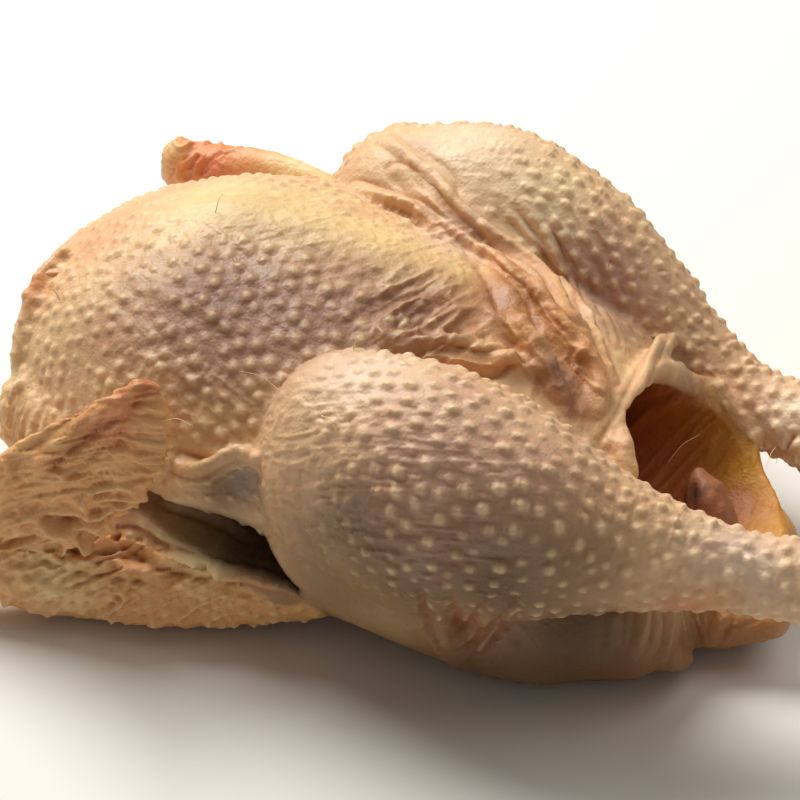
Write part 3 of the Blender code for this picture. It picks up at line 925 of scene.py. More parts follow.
relief = {
    "lumps": 1.0,
    "ripples": 0.14,
    "bumpHeight": 0.95,
    "bumpRadius": 1.42,
    "bumpSpacing": 5.9,
    "wingSpacing": 4.6,
    "wingShare": 0.55,
    "goosePimples": 0.07,
    "lobeSwell": 0.35,
    "lobeCentre": (-12, -34, 93),
    "lobeReach": 30,
    "nearHock": 148,  # x where the bumps begin to fade toward each hock
    "farHock": 126,
    "hockFade": 12,
    "legShare": 1.25,
    "forearmShare": 1.4,
}
rise += relief["lumps"] * layered(flat, 34.0, 3) + relief["ripples"] * layered(flat, 8.0, 9)
keelBand = np.exp(-(((flat[:, 1] - 4) / 15) ** 4)) * step01(flat[:, 0], -78, -55) * step01(flat[:, 2], 60, 76)
keelBand = keelBand * (1 - step01(flat[:, 0], 45, 70))
bumps = np.zeros(skin.count)
capShare = np.zeros(skin.count)
for index, part in enumerate(partNames):
    here = np.where(whichPart == index)[0]
    if part == "body":
        at, spacing = onTrunk, relief["bumpSpacing"]
        # fewer over the keel, on the belly and in folds
        calm = 1 - 0.93 * keelBand - 0.7 * step01(flat[:, 0], 20, 45) * step01(flat[:, 2], 55, 80)
        strength = 0.9 * np.clip(calm, 0, 1) * step01(flat[:, 2], 14, 34) * (1 - foldMask)
    elif part in ("nearLeg", "farLeg"):
        side = part.replace("Leg", "")
        at, spacing = onLimb[side + "Drumstick"], relief["bumpSpacing"]
        lowest = (34, 50) if part == "nearLeg" else (12, 30)
        strength = (1 - 0.8 * foldMask) * step01(flat[:, 2], *lowest) * (1 - step01(at["outside"], 3, 12))
        if part == "farLeg":
            # smooth on the knee, where it faces the camera
            shown = (1 - step01(flat[:, 0], 4, 40)) * step01(skinNormals @ cameraAxes()[2], 0.1, 0.5)
            strength = strength * (1 - 0.8 * shown)
        if part == "nearLeg":
            strength = strength * (0.25 + 0.75 * step01(flat[:, 0] + 0.5 * (flat[:, 2] - 60), 16, 52))
        hock = relief[side + "Hock"]
        strength = relief["legShare"] * strength * (1 - step01(flat[:, 0], hock, hock + relief["hockFade"]))
    else:
        side = part.replace("Wing", "")
        hand = closeness[part] == onLimb[side + "Hand"]["outside"]
        onHand, at = onLimb[side + "Hand"], dict(onLimb[side + "Forearm"])
        for key in ("along", "turn", "radius"):
            at[key] = np.where(hand, onHand[key], at[key])
        spacing = relief["wingSpacing"]
        strength = np.where(hand, 0.0, relief["forearmShare"]) * relief["wingShare"]
    local = {key: at[key][here] for key in ("along", "turn", "radius")}
    local.update(ringRadius=at["ringRadius"], run=at["run"])
    gap, lot = follicles(local, spacing, 11 + index)
    fromLobe = np.linalg.norm(flat[here] - relief["lobeCentre"], axis=1) / relief["lobeReach"]
    swell = 1 + relief["lobeSwell"] * np.exp(-(fromLobe**2))
    size = relief["bumpRadius"] * (0.78 + 0.45 * lot) * swell
    dome = np.exp(-((gap / size) ** 3)) * (0.45 + 0.75 * lot)
    bumps[here] = relief["bumpHeight"] * dome * strength[here] * swell
    capShare[here] = np.exp(-((gap / (size * 0.8)) ** 3)) * strength[here] * (0.45 + 0.75 * lot)
bumps -= relief["goosePimples"] * ridged(flat, 3.4, 77, 0.22) * (1 - foldMask)
outside = 1 - share["lining"]
rise += bumps * outside
rise += share["lining"] * 0.5 * layered(flat, 14.0, 4)

# the wing tip's trailing edge, drawn out thin and ragged
handEdge = {"reach": 3.6, "ragged": 0.9, "raggedSize": 3.4, "depth": 3.0}
onHand = onLimb["nearHand"]
handRows = easedRows(np.asarray(limbs["nearHand"], float), 40)
handAlong = np.gradient(handRows[:, :3], axis=0)
handAlong /= np.linalg.norm(handAlong, axis=1)[:, None]
handUp = sectionAxes(handAlong)[1].mean(0)
edgeNess = step01(-np.sin(onHand["turn"]), 0.1, 0.95)
edgeNess = edgeNess * np.exp(-((np.maximum(onHand["outside"], 0) / handEdge["depth"]) ** 2))
edgeNess = edgeNess * share["nearWing"] * (closeness["nearWing"] == onHand["outside"])
runShare = np.clip(onHand["along"] / onHand["run"][-1], 0, 1.1)
ragged = noise(onHand["along"][:, None] * [1, 0, 0], handEdge["raggedSize"], 8)
draw = handEdge["reach"] * step01(runShare, 0.05, 0.45) * (1 - step01(runShare, 0.8, 1.1))
draw += handEdge["ragged"] * ragged
lowWing = (share["nearWing"] + share["farWing"]) * (1 - step01(flat[:, 2], 3, 11))
rise = rise * (1 - 0.85 * np.clip(pinched, 0, 1)) * (1 - 0.75 * lowWing)
skin.points = skin.points + skin.normals() * rise[:, None]
skin.points = skin.points - handUp * (edgeNess * draw)[:, None]
even = np.clip(2 * pinched, 0, 0.8)[:, None]
for _ in range(6):
    skin.points = skin.points * (1 - even) + skin.around(skin.points) * even
skin.points[:, 2] = np.maximum(skin.points[:, 2], place["tableLevel"])
evened = skin.points.copy()
for _ in range(6):
    evened = 0.4 * evened + 0.6 * skin.around(evened)
relative = ((skin.points - evened) * skin.normals()).sum(axis=1)  # above 0 on ridges, below it in hollows
print("relief raised")

# colours by place

tints = {
    "skin": (232, 196, 146),
    "muscle": (210, 168, 132),
    "mauve": (196, 156, 136),
    # pale fat; one touch also lays it as painted light
    "fat": (240, 218, 160),
    # pale follicle tips, also laid on raised ridges as painted highlight
    "paleTipAndHighlight": (244, 220, 170),
    # painted shade for hollows, valleys between bumps and grooves beside folds
    "crease": (150, 84, 42),
    "fold": (218, 154, 94),
    "wing": (230, 172, 108),
    "raw": (216, 112, 78),
    "orange": (226, 140, 78),
    "lining": (206, 120, 58),
    # darker cavity flesh: painted shade deeper in, plus random patches
    "liningToneAndShade": (150, 74, 34),
    "flap": (160, 92, 50),
    "amber": (216, 152, 40),
    # brown laid on the lower body and lower legs: painted shade
    "back": (150, 106, 56),
    "olive": (204, 170, 104),
    "slate": (146, 140, 136),
    "shade": (50, 32, 18),
    # darker mauve-brown for lobes, folds and leg sides that lie in shade: painted shade
    "dusk": (138, 98, 74),
    # dark olive-brown for undersides and the knee web: painted shade
    "deep": (104, 78, 46),
    # pale cartilage of the cut hocks, also laid as painted light on the far leg
    "gristle": (250, 228, 196),
    "rust": (190, 104, 46),
    "moss": (112, 98, 62),
    # paler, less yellow tone for the most lit tops: painted highlight
    "pearl": (246, 232, 214),
}

# centre pixel, reach, tint, share
touches = [
    ((147, 382), 6, "rust", 0.9),
    ((250, 205), 18, "olive", 0.35),
    ((118, 424), 6, "raw", 0.35),
    ((80, 432), 6, "raw", 0.3),
    ((60, 565), 8, "orange", 0.3),
    ((90, 240), 20, "orange", 0.25),
    ((32, 280), 7, "orange", 0.7),
    ((60, 430), 16, "olive", 0.5),
    ((215, 410), 18, "olive", 0.6),
    ((255, 330), 24, "mauve", 0.8),
    # lit tops of the near leg, the far leg and the breast: painted highlight
    ((360, 375), 16, "pearl", 0.7),
    ((480, 145), 20, "pearl", 0.6),
    ((450, 240), 12, "pearl", 0.5),
    ((160, 330), 18, "mauve", 0.3),
    ((205, 166), 5, "raw", 0.4),
    ((400, 240), 26, "fold", 0.35),
    ((540, 320), 18, "fold", 0.7),
    ((590, 360), 12, "fold", 0.7),
    # a crease darkened: painted shade
    ((575, 405), 8, "crease", 0.8),
    ((245, 480), 7, "slate", 0.7),
    # near breast lobe: painted shade
    ((235, 300), 27, "dusk", 1.0),
    ((330, 320), 20, "dusk", 0.95),
    ((425, 315), 18, "dusk", 0.9),
    ((150, 300), 18, "dusk", 0.35),
    ((90, 330), 12, "dusk", 0.3),
    ((500, 300), 16, "fold", 0.9),
    # the folds: painted shade
    ((500, 300), 14, "dusk", 0.6),
    ((560, 370), 10, "dusk", 0.9),
    # middle of the far leg, which the lamps leave dim: painted light
    ((560, 210), 13, "gristle", 0.95),
    ((600, 215), 12, "skin", 0.7),
    ((555, 180), 16, "fat", 0.5),
    ((300, 168), 12, "fat", 0.9),
    ((172, 148), 4, "fat", 0.7),
    ((125, 405), 5, "raw", 0.4),
    ((106, 436), 6, "raw", 0.35),
    ((50, 462), 5, "raw", 0.35),
    ((60, 575), 14, "fat", 0.85),
    # upper arm, which lies in the gap's shadow, brightened: painted light
    ((200, 555), 9, "fat", 0.9),
    ((20, 440), 9, "olive", 0.5),
    # underside of the near leg and the hip: painted shade
    ((400, 590), 24, "deep", 1.0),
    ((490, 580), 22, "deep", 1.0),
    ((340, 590), 16, "deep", 0.9),
    ((352, 520), 12, "moss", 0.75),
    ((370, 540), 16, "deep", 0.7),
    ((310, 540), 12, "deep", 0.45),
    ((460, 520), 16, "deep", 0.3),
    ((570, 570), 18, "deep", 0.5),
    ((800, 420), 16, "gristle", 0.9),
    ((640, 230), 14, "skin", 0.4),
    # back and hip: painted shade
    ((570, 640), 26, "deep", 0.95),
    ((470, 660), 16, "deep", 0.8),
    # hip: painted shade
    ((480, 625), 9, "dusk", 0.5),
    # web between the near knee and the flank: painted shade
    ((220, 490), 9, "deep", 0.7),
    ((610, 300), 12, "mauve", 0.8),
    # near side of the far leg: painted shade
    ((625, 335), 10, "dusk", 0.6),
    ((590, 262), 10, "dusk", 0.5),
    ((650, 386), 3.5, "shade", 0.6),
    ((692, 384), 8, "slate", 0.5),
    ((640, 420), 7, "slate", 0.35),
    # top of the near shank: painted highlight
    ((740, 560), 14, "pearl", 0.5),
    ((290, 450), 13, "skin", 0.5),
    # painted shade
    ((700, 360), 14, "dusk", 0.4),
    ((350, 380), 20, "skin", 0.4),
    ((420, 480), 26, "mauve", 0.55),
    ((520, 440), 20, "mauve", 0.3),
    ((600, 250), 16, "mauve", 0.55),
    ((470, 150), 26, "fat", 0.35),
    ((755, 402), 7, "raw", 0.25),
    ((688, 608), 8, "raw", 0.45),
    ((470, 620), 12, "orange", 0.2),
    ((770, 620), 10, "orange", 0.35),
    ((360, 600), 20, "olive", 0.35),
    ((720, 600), 8, "amber", 0.35),
]


def blend(colour, tint, amount):
    amount = np.clip(amount, 0, 1)[:, None]
    return colour * (1 - amount) + linear(tints[tint]) * amount


colour = np.repeat(linear(tints["skin"])[None], skin.count, axis=0)
patch = 0.5 + 0.5 * layered(flat, 26.0, 31)
small = 0.5 + 0.5 * layered(flat, 9.0, 37)
legs = share["nearLeg"] + share["farLeg"]
colour = blend(colour, "muscle", legs * (0.25 + 0.45 * patch) + share["body"] * 0.4 * patch)
colour = blend(colour, "mauve", legs * 0.5 * step01(small * patch, 0.25, 0.5))
colour = blend(colour, "fat", keelBand * 0.85 + 0.25 * share["body"] * step01(small, 0.5, 0.8))
# lower body and lower legs darkened towards the bottom with the back tint: painted shade
underBodyShade = share["body"] * (1 - step01(flat[:, 2], 16, 44))
underLegShade = legs * 0.85 * (1 - step01(flat[:, 2], 12, 42))
colour = blend(colour, "back", underBodyShade * 0.9 + underLegShade)
colour = blend(colour, "wing", share["nearWing"] * 0.9 + share["farWing"] * 0.85)
colour = blend(colour, "fold", foldMask * 0.85)
for pixel, reach, tint, amount in touches:
    centre = onSkin([pixel])
    if len(centre):
        gap = np.linalg.norm(flat - centre[0], axis=1) * (0.8 + 0.4 * small)
        colour = blend(colour, tint, amount * np.exp(-((gap / reach) ** 2)) * outside)
wings = share["nearWing"] + share["farWing"]
# pale follicle tips, and every raised ridge lightened: painted highlight
colour = blend(colour, "paleTipAndHighlight", capShare * 0.38 + (0.3 + 0.2 * wings) * step01(relative, 0.12, 0.65))
# hollows and the grooves beside folds darkened: painted shade
sunkShade = (0.55 + 0.25 * wings) * step01(-relative, 0.08, 0.7)
colour = blend(colour, "crease", (sunkShade + 0.3 * grooveShade) * outside)
fromRim = np.linalg.norm((flat - cavity["mouthCentre"]) / (32, 36, 32), axis=1) - 1
rimHere = np.exp(-((fromRim / 0.25) ** 2)) * step01(flat[:, 0], 84, 102)
colour = blend(colour, "amber", 0.85 * rimHere * (1 - legs))
fromLeaf = (flat - cavity["leafCentre"]) @ np.stack(cameraAxes(), axis=1) / cavity["leafSize"]
fromLeaf[:, 0] += cavity["leafLean"] * fromLeaf[:, 1]
onLeaf = 5.0 * (np.linalg.norm(fromLeaf, axis=1) - 1)
inSlot = limbPlace(flat, cavity["wingSlot"])["outside"]
slotShade = 0.85 * (0.3 + 0.7 * step01(flat[:, 0], -42, -12)) * np.exp(-((np.maximum(inSlot, 0) / 1.6) ** 2))
colour = blend(colour, "shade", slotShade)
colour = blend(colour, "lining", share["lining"] * (1 - 0.6 * step01(mouthDepth, -16, 2)))
# the cavity darker the deeper it goes (painted shade) and in random patches
deepShade = 0.65 * (1 - step01(mouthDepth, -60, -14)) + 0.4 * (1 - small)
colour = blend(colour, "liningToneAndShade", share["lining"] * deepShade)
nearLeaf = np.exp(-((np.maximum(onLeaf, 0) / 1.5) ** 2)) * step01(flat[:, 2], 20, 30)
colour = blend(colour, "flap", 0.9 * nearLeaf)
hockEnd = share["nearLeg"] * step01(flat[:, 0], 156, 170) + share["farLeg"] * step01(flat[:, 0], 132, 146)
colour = blend(colour, "gristle", 0.7 * hockEnd)
farTip = np.exp(-(np.linalg.norm((flat - (-90, 78, 68)) / (14, 14, 12), axis=1) ** 2))
colour = blend(colour, "raw", farTip * 0.85)
liningTouches = [
    ((742, 470), 9, "amber", 0.85),
    ((756, 505), 9, "amber", 0.95),
    ((742, 515), 7, "amber", 0.9),
    ((742, 512), 6, "rust", 0.85),
    ((737, 497), 4, "rust", 0.8),
    ((700, 425), 12, "amber", 0.45),
    ((655, 470), 12, "lining", 0.5),
    ((694, 495), 3.5, "shade", 0.85),
]
for pixel, reach, tint, amount in liningTouches:
    centre = onSkin([pixel])
    if len(centre):
        gap = np.linalg.norm(flat - centre[0], axis=1)
        colour = blend(colour, tint, amount * np.exp(-((gap / reach) ** 2)))
wetness = np.clip(share["lining"] * 0.5 + foldMask * 0.1, 0, 1)
print("colours laid")


# node groups that the finishes share


def newGroup(name, inputs, outputs):
    group = bpy.data.node_groups.new(name, "ShaderNodeTree")
    for label, kind, start in inputs:
        socket = group.interface.new_socket(label, in_out="INPUT", socket_type=kind)
        socket.default_value = start
    for label, kind in outputs:
        group.interface.new_socket(label, in_out="OUTPUT", socket_type=kind)
    return group, group.nodes.new("NodeGroupInput"), group.nodes.new("NodeGroupOutput")


def mottleGroup():
    # blotches, finer veins and pores over Object coordinates: two masks and a height
    group, start, end = newGroup(
        "skinMottle",
        [("Size", "NodeSocketFloat", 60.0), ("Pore Size", "NodeSocketFloat", 900.0)],
        [("Blotch", "NodeSocketFloat"), ("Vein", "NodeSocketFloat"), ("Pores", "NodeSocketFloat")],
    )
    spot = group.nodes.new("ShaderNodeTexCoord")
    blotch = group.nodes.new("ShaderNodeTexNoise")
    blotch.inputs["Detail"].default_value = 5.0
    blotch.inputs["Roughness"].default_value = 0.6
    vein = group.nodes.new("ShaderNodeTexNoise")
    vein.noise_type = "RIDGED_MULTIFRACTAL"
    vein.inputs["Detail"].default_value = 4.0
    pores = group.nodes.new("ShaderNodeTexVoronoi")
    pores.feature = "F1"
    finer = group.nodes.new("ShaderNodeMath")
    finer.operation = "MULTIPLY"
    finer.inputs[1].default_value = 2.3
    link = group.links.new
    link(spot.outputs["Object"], blotch.inputs["Vector"])
    link(spot.outputs["Object"], vein.inputs["Vector"])
    link(spot.outputs["Object"], pores.inputs["Vector"])
    link(start.outputs["Size"], blotch.inputs["Scale"])
    link(start.outputs["Size"], finer.inputs[0])
    link(finer.outputs[0], vein.inputs["Scale"])
    link(start.outputs["Pore Size"], pores.inputs["Scale"])
    link(blotch.outputs["Fac"], end.inputs["Blotch"])
    link(vein.outputs["Fac"], end.inputs["Vein"])
    link(pores.outputs["Distance"], end.inputs["Pores"])
    return group


mottle = mottleGroup()


def multiplied(tree, factor, first, second):
    mix = tree.nodes.new("ShaderNodeMix")
    mix.data_type = "RGBA"
    mix.blend_type = "MULTIPLY"
    for label, value in (("Factor", factor), ("A", first), ("B", second)):
        socket = mix.inputs[label]
        if isinstance(value, bpy.types.NodeSocket):
            tree.links.new(value, socket)
        else:
            socket.default_value = value
    return mix.outputs["Result"]


def ranged(tree, value, low, high, newLow, newHigh):
    span = tree.nodes.new("ShaderNodeMapRange")
    tree.links.new(value, span.inputs["Value"])
    for label, number in (("From Min", low), ("From Max", high), ("To Min", newLow), ("To Max", newHigh)):
        span.inputs[label].default_value = number
    return span.outputs["Result"]


def skinFinish(name, values):
    finish = bpy.data.materials.new(name)
    finish.use_nodes = True
    tree = finish.node_tree
    surface = tree.nodes["Principled BSDF"]
    tint = tree.nodes.new("ShaderNodeAttribute")
    tint.attribute_name = "skinTint"
    pattern = tree.nodes.new("ShaderNodeGroup")
    pattern.node_tree = mottle
    pattern.inputs["Size"].default_value = values["blotchScale"]
    pattern.inputs["Pore Size"].default_value = values["poreScale"]
    warm = ranged(tree, pattern.outputs["Blotch"], *values["blushRange"], 0.0, values["blush"])
    colour = multiplied(tree, warm, tint.outputs["Color"], (*linear(values["blushTint"]), 1))
    vein = ranged(tree, pattern.outputs["Vein"], *values["veinRange"], 0.0, values["vein"])
    colour = multiplied(tree, vein, colour, (*linear(values["veinTint"]), 1))
    tree.links.new(colour, surface.inputs["Base Color"])
    rough = ranged(tree, pattern.outputs["Blotch"], *values["roughRange"], *values["roughness"])
    wet = tree.nodes.new("ShaderNodeAttribute")
    wet.attribute_name = "wetness"
    smoother = tree.nodes.new("ShaderNodeMath")
    smoother.operation = "MULTIPLY_ADD"
    smoother.inputs[1].default_value = -values["wetShine"]
    tree.links.new(wet.outputs["Fac"], smoother.inputs[0])
    tree.links.new(rough, smoother.inputs[2])
    tree.links.new(smoother.outputs["Value"], surface.inputs["Roughness"])
    bump = tree.nodes.new("ShaderNodeBump")
    bump.inputs["Strength"].default_value = values["poreStrength"]
    bump.inputs["Distance"].default_value = values["poreDepth"]
    tree.links.new(pattern.outputs["Pores"], bump.inputs["Height"])
    tree.links.new(bump.outputs["Normal"], surface.inputs["Normal"])
    surface.subsurface_method = "BURLEY"
    surface.inputs["Subsurface Weight"].default_value = values["subsurface"]
    surface.inputs["Subsurface Radius"].default_value = values["subsurfaceRadius"]
    surface.inputs["Subsurface Scale"].default_value = values["subsurfaceScale"]
    surface.inputs["Specular IOR Level"].default_value = values["specular"]
    surface.inputs["Coat Weight"].default_value = values["coat"]
    surface.inputs["Coat Roughness"].default_value = values["coatRoughness"]
    return finish


skinLook = {
    "blotchScale": 55.0,
    "poreScale": 950.0,
    "blush": 0.6,
    "blushRange": (0.35, 0.7),
    "blushTint": (236, 212, 210),
    "vein": 0.4,
    "veinRange": (0.9, 1.9),
    "veinTint": (222, 186, 180),
    "roughness": (0.46, 0.64),
    "roughRange": (0.3, 0.7),
    "poreStrength": 0.35,
    "poreDepth": 0.0004,  # metres
    "subsurface": 0.28,
    "subsurfaceRadius": (1.0, 0.42, 0.22),
    "subsurfaceScale": 0.003,
    "specular": 0.5,
    "coat": 0.08,
    "coatRoughness": 0.3,
    "wetShine": 0.16,
}
skinMaterial = skinFinish("rawSkin", skinLook)

# pieces: the skin cut along smooth lines, each piece closed behind its edges

cuts = {
    "breastLevel": 78.0,
    "breastSlope": 0.9,
    "backLevel": 15.0,
    "shoulderEnd": -56.0,
    "cavitySplit": 34.0,  # x, as the next three are
    "rumpStart": 40.0,
    "nearShank": 85.0,
    "farShank": 85.0,
    "bandWidth": 7.0,
    "wall": 0.3,  # how deep the second wall lies
    "smallestPatch": 900,
}
shellPieces = ("belly", "rump", "cavityDeep", "cavityMouth")


def facePairs():
    # faces that share an edge
    edges = np.sort(np.stack([skin.quads, np.roll(skin.quads, -1, axis=1)], axis=-1).reshape(-1, 2), axis=1)
    key = edges[:, 0] * skin.count + edges[:, 1]
    order = np.argsort(key, kind="stable")
    same = key[order][1:] == key[order][:-1]
    return (order[:-1] // 4)[same], (order[1:] // 4)[same]


def faceOwners():
    # the part most of each face's corners lean to, evened out along the borders
    lean = np.stack([skin.spread(share[part], 10) for part in partNames], axis=1)
    centre = lean[skin.quads].mean(axis=1)
    spot = flat[skin.quads].mean(axis=1)
    trunkNames = ["breast", "back", "shoulders", "belly", "rump", "cavityDeep", "cavityMouth"]
    names = np.array(partNames + trunkNames + ["nearShank", "farShank"])
    number = {name: k for k, name in enumerate(names)}
    owner = centre.argmax(axis=1)
    body = owner == number["body"]
    for leg, shank in (("nearLeg", "nearShank"), ("farLeg", "farShank")):
        owner[(owner == number[leg]) & (spot[:, 0] > cuts[shank])] = number[shank]
    owner[body] = np.where(spot[body, 0] > cuts["rumpStart"], number["rump"], number["belly"])
    owner[body & (spot[:, 0] < cuts["shoulderEnd"])] = number["shoulders"]
    breastFloor = cuts["breastLevel"] + cuts["breastSlope"] * np.maximum(spot[:, 0], 0)
    owner[body & (spot[:, 2] > breastFloor)] = number["breast"]
    owner[body & (spot[:, 2] < cuts["backLevel"])] = number["back"]
    inner = skin.spread(share["lining"], 4)[skin.quads].mean(axis=1) > 0.5
    owner[inner] = np.where(spot[inner, 0] < cuts["cavitySplit"], number["cavityDeep"], number["cavityMouth"])
    first, second = facePairs()
    for _ in range(3):
        same = owner[first] == owner[second]
        patch = lowestNames(len(owner), first[same], second[same])
        size = np.bincount(patch, minlength=len(owner))[patch]
        lone = size < cuts["smallestPatch"]
        if not lone.any():
            break
        for _ in range(80):
            reach = lone[first] & ~lone[second]
            back = lone[second] & ~lone[first]
            owner[first[reach]] = owner[second[reach]]
            owner[second[back]] = owner[first[back]]
            lone[first[reach]] = False
            lone[second[back]] = False
    return names[owner]


def closedPiece(name, faces, normals):
    # a second wall runs just under the skin, all over in shells and elsewhere only near the border
    # fans from the far edge of such a band to its middle close the rest
    used = np.unique(faces)
    local = np.full(skin.count, -1)
    local[used] = np.arange(len(used))
    faces = local[faces]
    places = skin.points[used]

    def openEdges(quads):
        edges = np.stack([quads, np.roll(quads, -1, axis=1)], axis=-1).reshape(-1, 2).astype(np.int64)
        return edges[~np.isin(edges @ [len(used), 1], edges @ [1, len(used)])]

    border = openEdges(faces)
    if len(border) == 0:
        return places, faces, used, used
    band = np.ones(len(faces), bool)
    if name not in shellPieces:
        near = np.zeros(len(used), bool)
        near[border.ravel()] = True
        for _ in range(int(cuts["bandWidth"] / skinVoxel)):
            band = near[faces].any(axis=1)
            near[faces[band].ravel()] = True
    inner = faces[band]
    under = np.unique(inner)
    below = np.full(len(used), -1)
    below[under] = len(used) + np.arange(len(under))
    wall = places[under] - cuts["wall"] * normals[used][under]
    edge = np.stack([border[:, 1], border[:, 0], below[border[:, 0]], below[border[:, 1]]], axis=1)
    rows, spots, source = [faces, below[inner][:, ::-1], edge], [places, wall], [used, used[under]]
    far = openEdges(inner)
    far = far[~np.isin(far @ [len(used), 1], border @ [len(used), 1])]
    if len(far):
        first, second = below[far[:, 0]] - len(used), below[far[:, 1]] - len(used)
        groups, which = np.unique(lowestNames(len(under), first, second)[first], return_inverse=True)
        spots.append(np.array([wall[np.unique(first[which == k])].mean(0) for k in range(len(groups))]))
        source.append(used[under[[first[which == k][0] for k in range(len(groups))]]])
        middle = len(used) + len(under) + which
        rows.append(np.stack([below[far[:, 0]], below[far[:, 1]], middle, middle], axis=1))
    return np.concatenate(spots), np.concatenate(rows), used, np.concatenate(source)


def makePieces():
    owner = faceOwners()
    normals = skin.normals()
    made = {}
    for name in dict.fromkeys(owner.tolist()):
        places, corners, used, source = closedPiece(name, skin.quads[owner == name], normals)
        mesh = meshOf(name, places - toRow, corners)
        tint = mesh.attributes.new("skinTint", "FLOAT_COLOR", "POINT")
        shown = np.column_stack([colour[source], np.ones(len(source))])
        tint.data.foreach_set("color", shown.astype(np.float32).ravel())
        wet = mesh.attributes.new("wetness", "FLOAT", "POINT")
        wet.data.foreach_set("value", wetness[source].astype(np.float32))
        mesh.polygons.foreach_set("use_smooth", np.ones(len(mesh.polygons), bool))
        facing = np.concatenate([normals[used], np.zeros((len(places) - len(used), 3))])
        mesh.normals_split_custom_set_from_vertices(facing.tolist())
        thing = objectOf(name, mesh)
        mesh.materials.append(skinMaterial)
        made[name] = thing
        print("piece", name, sum(len(face.vertices) - 2 for face in mesh.polygons), "triangles")
    return made


# a few stray feather hairs, each from its root on the skin to a tip nearer the camera

hairs = {
    "lift": 5.0,  # how far each tip stands off, toward the camera
    "sag": 1.4,
    "rootDepth": 0.12,  # share of the hair's length under the skin
    "rings": 22,
    "paleHairs": [
        0.17,
        (250, 224, 172),
        ((281, 391), (240, 371)),
        ((160, 421), (193, 426)),
        ((700, 434), (668, 462)),
        ((322, 416), (336, 430)),
        ((776, 446), (766, 470)),
        ((352, 352), (362, 338)),
    ],
    "darkHairs": [
        0.12,
        (104, 64, 34),
        ((215, 214), (223, 194)),
        ((606, 270), (618, 258)),
        ((782, 448), (776, 464)),
        ((60, 300), (48, 290)),
    ],
}


def makeHairs(name):
    # thin tubes that taper: root, a sagging middle and a tip, eased between
    eye = eyePoint()
    thickness, tint, *lines = hairs[name]
    forms = []
    for root, tip in lines:
        start = onSkin([root])
        if len(start) == 0:
            continue
        start = start[0]
        reach = np.linalg.norm(start - eye)
        end = eye + pixelDirection(tip) * (reach - hairs["lift"])
        middle = 0.5 * (start + end) + cameraAxes()[1] * hairs["sag"]
        line = easedRows([start - (end - start) * hairs["rootDepth"], start, middle, end], hairs["rings"])
        radii = thickness * np.linspace(1.0, 0.3, hairs["rings"])
        forms.append(gridForm(tubeGrid(line, radii, sides=8)))
    points, faces = stackForms(forms)
    thing = objectOf(name, meshOf(name, points - toRow, faces))
    thing.data.polygons.foreach_set("use_smooth", np.ones(len(thing.data.polygons), bool))
    straw = bpy.data.materials.new(name + "Finish")
    straw.use_nodes = True
    surface = straw.node_tree.nodes["Principled BSDF"]
    surface.inputs["Base Color"].default_value = (*linear(tint), 1)
    surface.inputs["Roughness"].default_value = 0.4
    thing.data.materials.append(straw)
    return thing


made = makePieces()
for name in ("paleHairs", "darkHairs"):
    made[name] = makeHairs(name)
bpy.data.objects.remove(rayForm)
for thing in made.values():
    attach(thing, "root")
    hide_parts("chicken")

# floor, lights and camera

studio = {
    "floorTint": (236, 235, 232),
    "floorHalf": 2.5,  # metres, as the next four are
    "riseFrom": 1.6,
    "rise": 0.6,
    "below": 0.0002,
    "lookAt": (0, 0, 0.05),
    "worldStrength": 0.14,
    "worldTint": (1.0, 0.9, 0.78),
}

# place, size, power, colour
lights = {
    "keyLight": ((-0.85, 0.5, 1.3), 1.1, 32.0, (1.0, 0.97, 0.92)),
    "topLight": ((0.6, 0.35, 1.45), 1.5, 6.5, (1.0, 0.98, 0.94)),
    "fillLight": ((0.6, -1.0, 0.7), 0.9, 0.4, (0.95, 0.97, 1.0)),
}


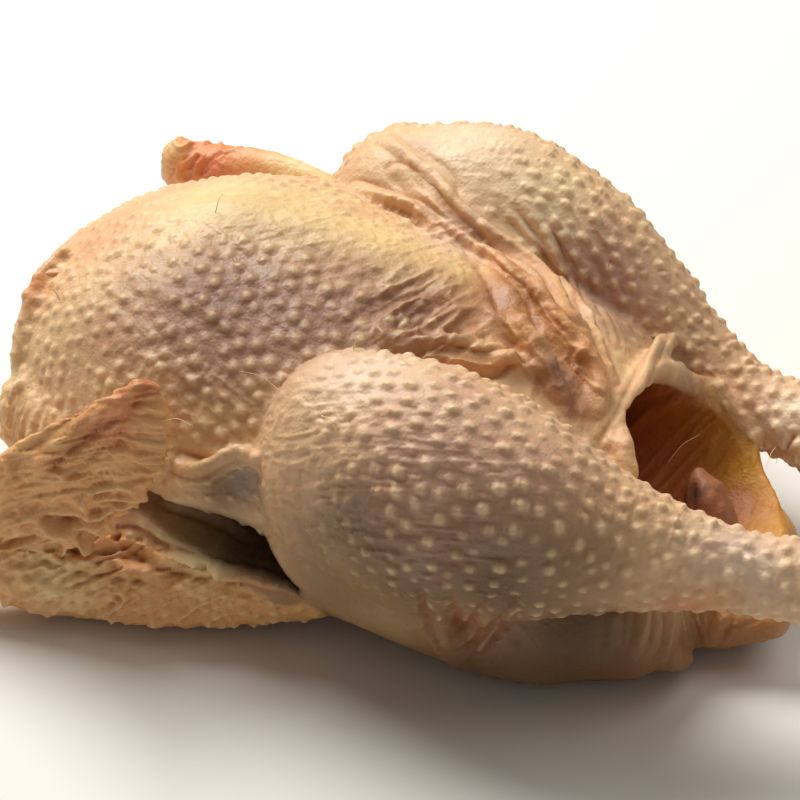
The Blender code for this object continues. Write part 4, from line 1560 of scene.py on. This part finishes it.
def makeFloor():
    # a wide flat square with a soft rise at its far edge
    side = np.linspace(-studio["floorHalf"], studio["floorHalf"], 41)
    x, y = np.meshgrid(side, side, indexing="ij")
    z = studio["rise"] * step01(y, studio["riseFrom"], studio["floorHalf"]) ** 2
    grid = np.stack([x, y, z - studio["below"]], axis=-1)
    index = np.arange(x.size).reshape(x.shape)
    faces = np.stack([index[:-1, :-1], index[1:, :-1], index[1:, 1:], index[:-1, 1:]], axis=-1).reshape(-1, 4)
    floor = objectOf("floor", meshOf("floor", grid.reshape(-1, 3), faces, scale=1.0))
    floor.data.polygons.foreach_set("use_smooth", np.ones(len(floor.data.polygons), bool))
    pale = bpy.data.materials.new("paleFloor")
    pale.use_nodes = True
    surface = pale.node_tree.nodes["Principled BSDF"]
    surface.inputs["Base Color"].default_value = (*linear(studio["floorTint"]), 1)
    surface.inputs["Roughness"].default_value = 0.8
    floor.data.materials.append(pale)


def areaLight(name, spot, size, power, tint):
    light = bpy.data.lights.new(name, "AREA")
    light.shape = "DISK"
    light.size = size
    light.energy = power
    light.color = tint
    holder = bpy.data.objects.new(name, light)
    bpy.context.scene.collection.objects.link(holder)
    holder.location = spot
    holder.rotation_mode = "QUATERNION"
    holder.rotation_quaternion = (Vector(studio["lookAt"]) - Vector(spot)).to_track_quat("-Z", "Y")


makeFloor()
for name, (spot, size, power, tint) in lights.items():
    areaLight(name, spot, size, power, tint)
world = bpy.data.worlds.new("paleRoom")
world.use_nodes = True
world.node_tree.nodes["Background"].inputs["Color"].default_value = (*studio["worldTint"], 1)
world.node_tree.nodes["Background"].inputs["Strength"].default_value = studio["worldStrength"]
bpy.context.scene.world = world
bpy.context.scene.view_settings.view_transform = "Standard"

eye = (eyePoint() - toRow) * 0.001
lens = bpy.data.cameras.new("camera")
lens.sensor_width = camera["sensorWidth"]
lens.lens = camera["focalPixels"] * camera["sensorWidth"] / camera["pixelsAcross"]
lens.shift_x = -(camera["lookAtPixel"][0] - camera["pixelsAcross"] / 2) / camera["pixelsAcross"]
lens.shift_y = (camera["lookAtPixel"][1] - camera["pixelsAcross"] / 2) / camera["pixelsAcross"]
lens.clip_start, lens.clip_end = camera["clip"]
eyeObject = bpy.data.objects.new("camera", lens)
bpy.context.scene.collection.objects.link(eyeObject)
eyeObject.location = eye
eyeObject.rotation_mode = "QUATERNION"
eyeObject.rotation_quaternion = Vector(-cameraAxes()[2]).to_track_quat("-Z", "Y")
bpy.context.scene.camera = eyeObject
print("camera and lights set")
